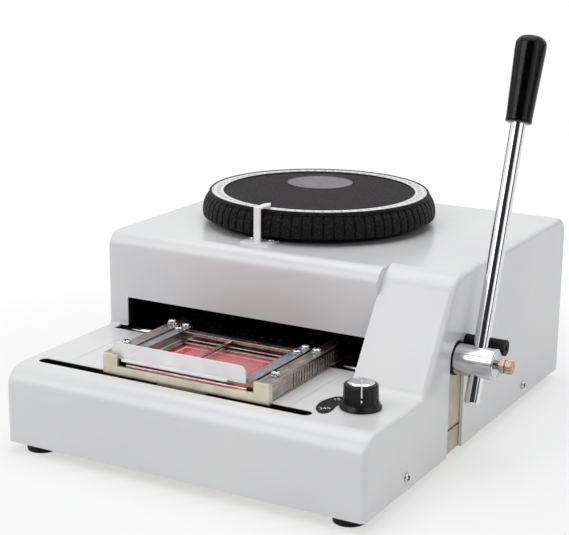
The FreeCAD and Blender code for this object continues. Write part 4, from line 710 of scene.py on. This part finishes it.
disc_bead = [(81.2, 167.1), (81.3, 167.7), (81.7, 168.05), (82.2, 168.05), (82.6, 167.7)]
grip_lip = [(92.65, 166.9), (92.7, 168.0), (93.1, 168.35), (93.9, 168.2), (94.7, 167.3), (95.2, 165.6)]
badge_rim = [(27.9, 167.1), (28.0, 167.6), (28.4, 167.75), (28.9, 167.6), (29.0, 167.1)]
turned_piece("disc_bead", disc_bead, DIAL, 180, "black_plastic")
turned_piece("grip_lip", grip_lip, DIAL, 216, "black_plastic")
turned_piece("badge_rim", badge_rim, (DIAL[0] - 15.5, DIAL[1] + 31), 120, "badge_grey")


# Knob
def knob_mark(work):
    """The knob's pointer line, for its skirt, side and top.

    It stands 8 mm too high and is kept so: lay adds the height of ORIGIN, which place has added.
    """
    turn = Matrix.Translation(place(*KNOB, 0)) @ Matrix.Rotation(math.radians(-62), 4, "Z")

    def lay(x, y, z):
        return turn @ (Vector((x, y, z - ORIGIN[2])) / 1000)

    for inner, outer, half, low, high, bevel in (
        (13.6, 15.7, 0.55, KNOB_BASE + 0.3, KNOB_BASE + 1.6, 0.15),
        (12.4, 13.8, 0.50, KNOB_BASE + 3.2, KNOB_TOP - 1.4, 0.15),
        (10.2, 11.6, 0.50, KNOB_TOP - 0.1, KNOB_TOP + 0.14, 0.05),
    ):
        corners = [(inner, -half), (outer, -half), (outer, half), (inner, half)]
        slab(work, corners, low, high, bevel, lay)


piece("knob_mark", knob_mark, white_ink, "knob")
cap_bead = [(9.5, KNOB_TOP), (9.9, 79.5), (10.1, 79.9), (9.9, 80.3), (9.5, 80.4)]
turned_piece("cap_bead", cap_bead, KNOB, 72, "cap_alloy", "knob")

LABEL_TOP = 61.4
LABEL_OUTLINE = [
    (96.6, 37.6), (102.9, 32.2), (107.3, 35.4), (107.3, 43.8), (106.3, 50.8), (107.0, 56.5),
    (105.4, 64.0), (102.6, 70.4), (98.0, 69.6), (94.4, 63.6), (92.4, 54.6), (93.3, 45.3),
]


def label_plate(work):
    """The kidney-shaped label to the left of the knob, its outline rounded between its points."""
    corners = []
    count = len(LABEL_OUTLINE)
    for k in range(count):
        before, here, after, last = (Vector(LABEL_OUTLINE[(k + j) % count]) for j in (-1, 0, 1, 2))
        for step in range(6):
            t = step / 6
            square = 2 * before - 5 * here + 4 * after - last
            cube = 3 * here - before - 3 * after + last
            spot = 0.5 * (2 * here + (after - before) * t + square * t ** 2 + cube * t ** 3)
            corners.append(tuple(spot))
    slab(work, corners, TABLE + 0.02, LABEL_TOP)


plate = piece("label_plate", label_plate, skins["label_black"], "housing", smooth=False)
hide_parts("knob_label")


def label_numbers(work):
    """Two plain numbers on the label, to be read from the front right."""
    turn = Matrix.Rotation(math.radians(38), 4, "Z")
    for body, x, y, size in (("12", 100.0, 63.6, 0.0056), ("345", 101.2, 42.0, 0.0058)):
        flat = flat_text(body, size)
        flat.transform(Matrix.Translation(place(x, y, LABEL_TOP + 0.04)) @ turn)
        work.from_mesh(flat)
        bpy.data.meshes.remove(flat)


piece("label_numbers", label_numbers, white_ink, "housing", smooth=False)


# Lever
def knurl(work):
    """Fine ridges along the clamp screw's round head."""
    count = 30
    root = 5.1
    tip = 5.45
    half = math.pi / count * 0.55
    section = ((root, -half), (tip, -half * 0.4), (tip, half * 0.4), (root, half))
    for first, last in ((190.3, 193.4), (195.1, 198.7)):
        for index in range(count):
            angle = 2 * math.pi * index / count
            ends = []
            for x in (first, last):
                end = []
                for radius, offset in section:
                    y = LEVER[0] + radius * math.cos(angle + offset)
                    z = LEVER[1] + radius * math.sin(angle + offset)
                    end.append(work.verts.new(place(x, y, z)))
                ends.append(end)
            for k in range(3):
                work.faces.new([ends[0][k], ends[0][k + 1], ends[1][k + 1], ends[1][k]])
            work.faces.new(ends[0])
            work.faces.new(ends[1][::-1])


piece("clamp_knurl", knurl, skins["bronze"], "lever", smooth=False)


ROD_X = 172


def grip_collar(work):
    """The rounded lower end of the grip; its heights are measured along the rod from the lever's axis."""
    profile = [(6.05, 183.6), (9.4, 183.6), (9.9, 183.9), (10.2, 184.6), (10.25, 186.0), (10.1, 186.8)]
    lathe(work, profile, (ROD_X, *LEVER), steps=72, lean=LEVER_LEAN)


def hub_collar(work):
    """The rim of the hub's outer face."""
    profile = [(7.6, 31.05), (9.4, 31.05), (10.0, 31.2), (10.2, 31.6), (10.0, 31.0)]
    lathe(work, profile, (HALF_WIDTH, *LEVER), "x", steps=64)


piece("grip_collar", grip_collar, grip_skin, "lever")
piece("hub_collar", hub_collar, skins["bright_rod"], "lever")


# Tray trim
TRAY_BED = 66.75


def guide_strips(work):
    """Two strips beside the card and one in front of it, on the tray's bed."""
    block(work, (-62.6, -60.4), (38, 104), (TRAY_BED, TRAY_BED + 2.85))
    block(work, (33.0, 35.2), (38, 104), (TRAY_BED, TRAY_BED + 2.85))
    block(work, (-60.2, 33.0), (38.0, 40.6), (TRAY_BED, TRAY_BED + 2.45))


def front_bar(work):
    """The rounded bar along the tray's front edge, under the pull plate's lip."""
    section = [
        (31.9, 64.6), (30.9, 64.9), (30.3, 65.9), (30.3, 68.0),
        (30.9, 69.2), (32.0, 69.7), (32.65, 69.7), (32.65, 64.6),
    ]
    ends = [[work.verts.new(place(x, y, z)) for y, z in section] for x in (-63, 43)]
    work.faces.new(ends[0])
    work.faces.new(ends[1][::-1])
    for k in range(len(section)):
        n = (k + 1) % len(section)
        work.faces.new([ends[0][k], ends[0][n], ends[1][n], ends[1][k]])


bar_steel = metal("front_bar_steel", (176, 140, 138), (226, 192, 190), 0.22)
piece("tray_front_bar", front_bar, bar_steel, "tray")
piece("card_guides", guide_strips, skins["yellow_zinc"], "tray")


# Stage: floor, light and camera
FLOOR_SIZE = 8.0


def shade(tree, kind, operation=None, first=None, second=None):
    """A node in a plain tree, with up to two inputs that are numbers or sockets."""
    node = tree.nodes.new(kind)
    if operation:
        node.operation = operation
    for index, value in enumerate((first, second)):
        if value is None:
            continue
        if isinstance(value, (int, float, tuple)):
            node.inputs[index].default_value = value
        else:
            tree.links.new(value, node.inputs[index])
    return node


def seen_or_mirrored(tree, path):
    """One for the rays of the camera and of mirror images, zero for the rest."""
    seen = shade(tree, "ShaderNodeMath", "MAXIMUM", path.outputs["Is Camera Ray"])
    tree.links.new(path.outputs["Is Glossy Ray"], seen.inputs[1])
    return seen.outputs[0]


def mix_into(tree, output, share, first, second):
    """Mix two shaders by share and send the result to the tree's output."""
    mixed = tree.nodes.new("ShaderNodeMixShader")
    tree.links.new(share, mixed.inputs[0])
    tree.links.new(first.outputs[0], mixed.inputs[1])
    tree.links.new(second.outputs[0], mixed.inputs[2])
    tree.links.new(mixed.outputs[0], tree.nodes[output].inputs["Surface"])


def floor_material():
    """Pale paper; the camera and mirror images see it mixed with white, and all white far away."""
    material = bpy.data.materials.new("floor_paper")
    material.use_nodes = True
    tree = material.node_tree
    shader = tree.nodes["Principled BSDF"]
    shader.inputs["Base Color"].default_value = (0.90, 0.90, 0.90, 1)
    shader.inputs["Roughness"].default_value = 0.7
    light = tree.nodes.new("ShaderNodeEmission")
    light.inputs["Color"].default_value = (1, 1, 1, 1)
    light.inputs["Strength"].default_value = 1.0
    path = tree.nodes.new("ShaderNodeLightPath")
    seen = seen_or_mirrored(tree, path)
    coordinates = tree.nodes.new("ShaderNodeTexCoord")
    away = shade(tree, "ShaderNodeVectorMath", "LENGTH", coordinates.outputs["Object"])
    fade = map_range(tree, away.outputs["Value"], 0.22, 0.54, 0.58, 1.0, smooth=True)
    share = shade(tree, "ShaderNodeMath", "MULTIPLY", seen, fade)
    mix_into(tree, "Material Output", share.outputs[0], shader, light)
    return material


floor_mesh = bpy.data.meshes.new("floor")
work = bmesh.new()
bmesh.ops.create_grid(work, x_segments=1, y_segments=1, size=FLOOR_SIZE / 2)
work.to_mesh(floor_mesh)
work.free()
floor_mesh.materials.append(floor_material())
floor = bpy.data.objects.new("floor", floor_mesh)
floor.location = (0, 0, -0.0002)
bpy.context.scene.collection.objects.link(floor)


def studio_world():
    """White for the camera, a soft ambient for the light, and in mirror images the room's dark parts.

    The dark parts are a round patch behind the camera and a strip at the height of the horizon.
    """
    world = bpy.data.worlds.new("studio")
    world.use_nodes = True
    tree = world.node_tree
    backdrop = tree.nodes["Background"]
    backdrop.inputs["Color"].default_value = (1, 1, 1, 1)
    ambient = tree.nodes.new("ShaderNodeBackground")
    ambient.inputs["Color"].default_value = (0.97, 0.98, 1.0, 1)
    ambient.inputs["Strength"].default_value = 0.34
    path = tree.nodes.new("ShaderNodeLightPath")
    sky = tree.nodes.new("ShaderNodeTexCoord").outputs["Generated"]
    towards_camera = (0.40, -0.90, 0.17)
    room = shade(tree, "ShaderNodeVectorMath", "DOT_PRODUCT", sky, towards_camera)
    patch = map_range(tree, room.outputs["Value"], 0.72, 0.78, 0.0, 1.0)
    height = shade(tree, "ShaderNodeSeparateXYZ", None, sky).outputs["Z"]
    level = shade(tree, "ShaderNodeMath", "SUBTRACT", height, 0.05)
    level = shade(tree, "ShaderNodeMath", "ABSOLUTE", level.outputs[0])
    strip = shade(tree, "ShaderNodeMath", "LESS_THAN", level.outputs[0], 0.05)
    dark = shade(tree, "ShaderNodeMath", "MAXIMUM", patch, strip.outputs[0])
    dark = shade(tree, "ShaderNodeMath", "MULTIPLY", dark.outputs[0], path.outputs["Is Glossy Ray"])
    dark = shade(tree, "ShaderNodeMath", "MULTIPLY", dark.outputs[0], 0.96)
    left = shade(tree, "ShaderNodeMath", "SUBTRACT", 1.0, dark.outputs[0])
    tree.links.new(left.outputs[0], backdrop.inputs["Strength"])
    through = path.outputs["Is Transmission Ray"]
    seen = shade(tree, "ShaderNodeMath", "MAXIMUM", seen_or_mirrored(tree, path), through)
    mix_into(tree, "World Output", seen.outputs[0], ambient, backdrop)
    return world


bpy.context.scene.world = studio_world()


def lamp(name, spot, power, size):
    """A rectangular lamp that looks at the middle of the object; metres and watts."""
    target = Vector((0, 0, 0.1))
    light = bpy.data.lights.new(name, "AREA")
    light.energy = power
    light.shape = "RECTANGLE"
    light.size, light.size_y = size
    made = bpy.data.objects.new(name, light)
    made.location = spot
    made.rotation_mode = "QUATERNION"
    made.rotation_quaternion = (target - Vector(spot)).to_track_quat("-Z", "Y")
    bpy.context.scene.collection.objects.link(made)


lamp("key", (-1.0, -1.7, 1.5), 13, (1.4, 1.2))
lamp("top", (-0.1, 0.2, 2.0), 21.5, (2.0, 2.0))
lamp("fill", (1.8, -0.7, 0.9), 4, (1.2, 1.2))

# The camera as solved from the photograph: its lens, its place and its three axes
CAMERA_PLACE = (563.943, -848.864, 426.657)
CAMERA_RIGHT = Vector((0.87209962, 0.48922523, 0.01004632))
CAMERA_UP = Vector((-0.13195626, 0.21535765, 0.96757874))
CAMERA_FORWARD = Vector((-0.47120038, 0.84515073, -0.25236966))
camera_data = bpy.data.cameras.new("camera")
camera_data.sensor_fit = "HORIZONTAL"
camera_data.sensor_width = 36
camera_data.lens = 94.23
camera = bpy.data.objects.new("camera", camera_data)
turn = Matrix((CAMERA_RIGHT, CAMERA_UP, -CAMERA_FORWARD)).transposed().to_4x4()
camera.matrix_world = Matrix.Translation(place(*CAMERA_PLACE)) @ turn
bpy.context.scene.collection.objects.link(camera)
bpy.context.scene.camera = camera
bpy.context.scene.view_settings.view_transform = "Standard"
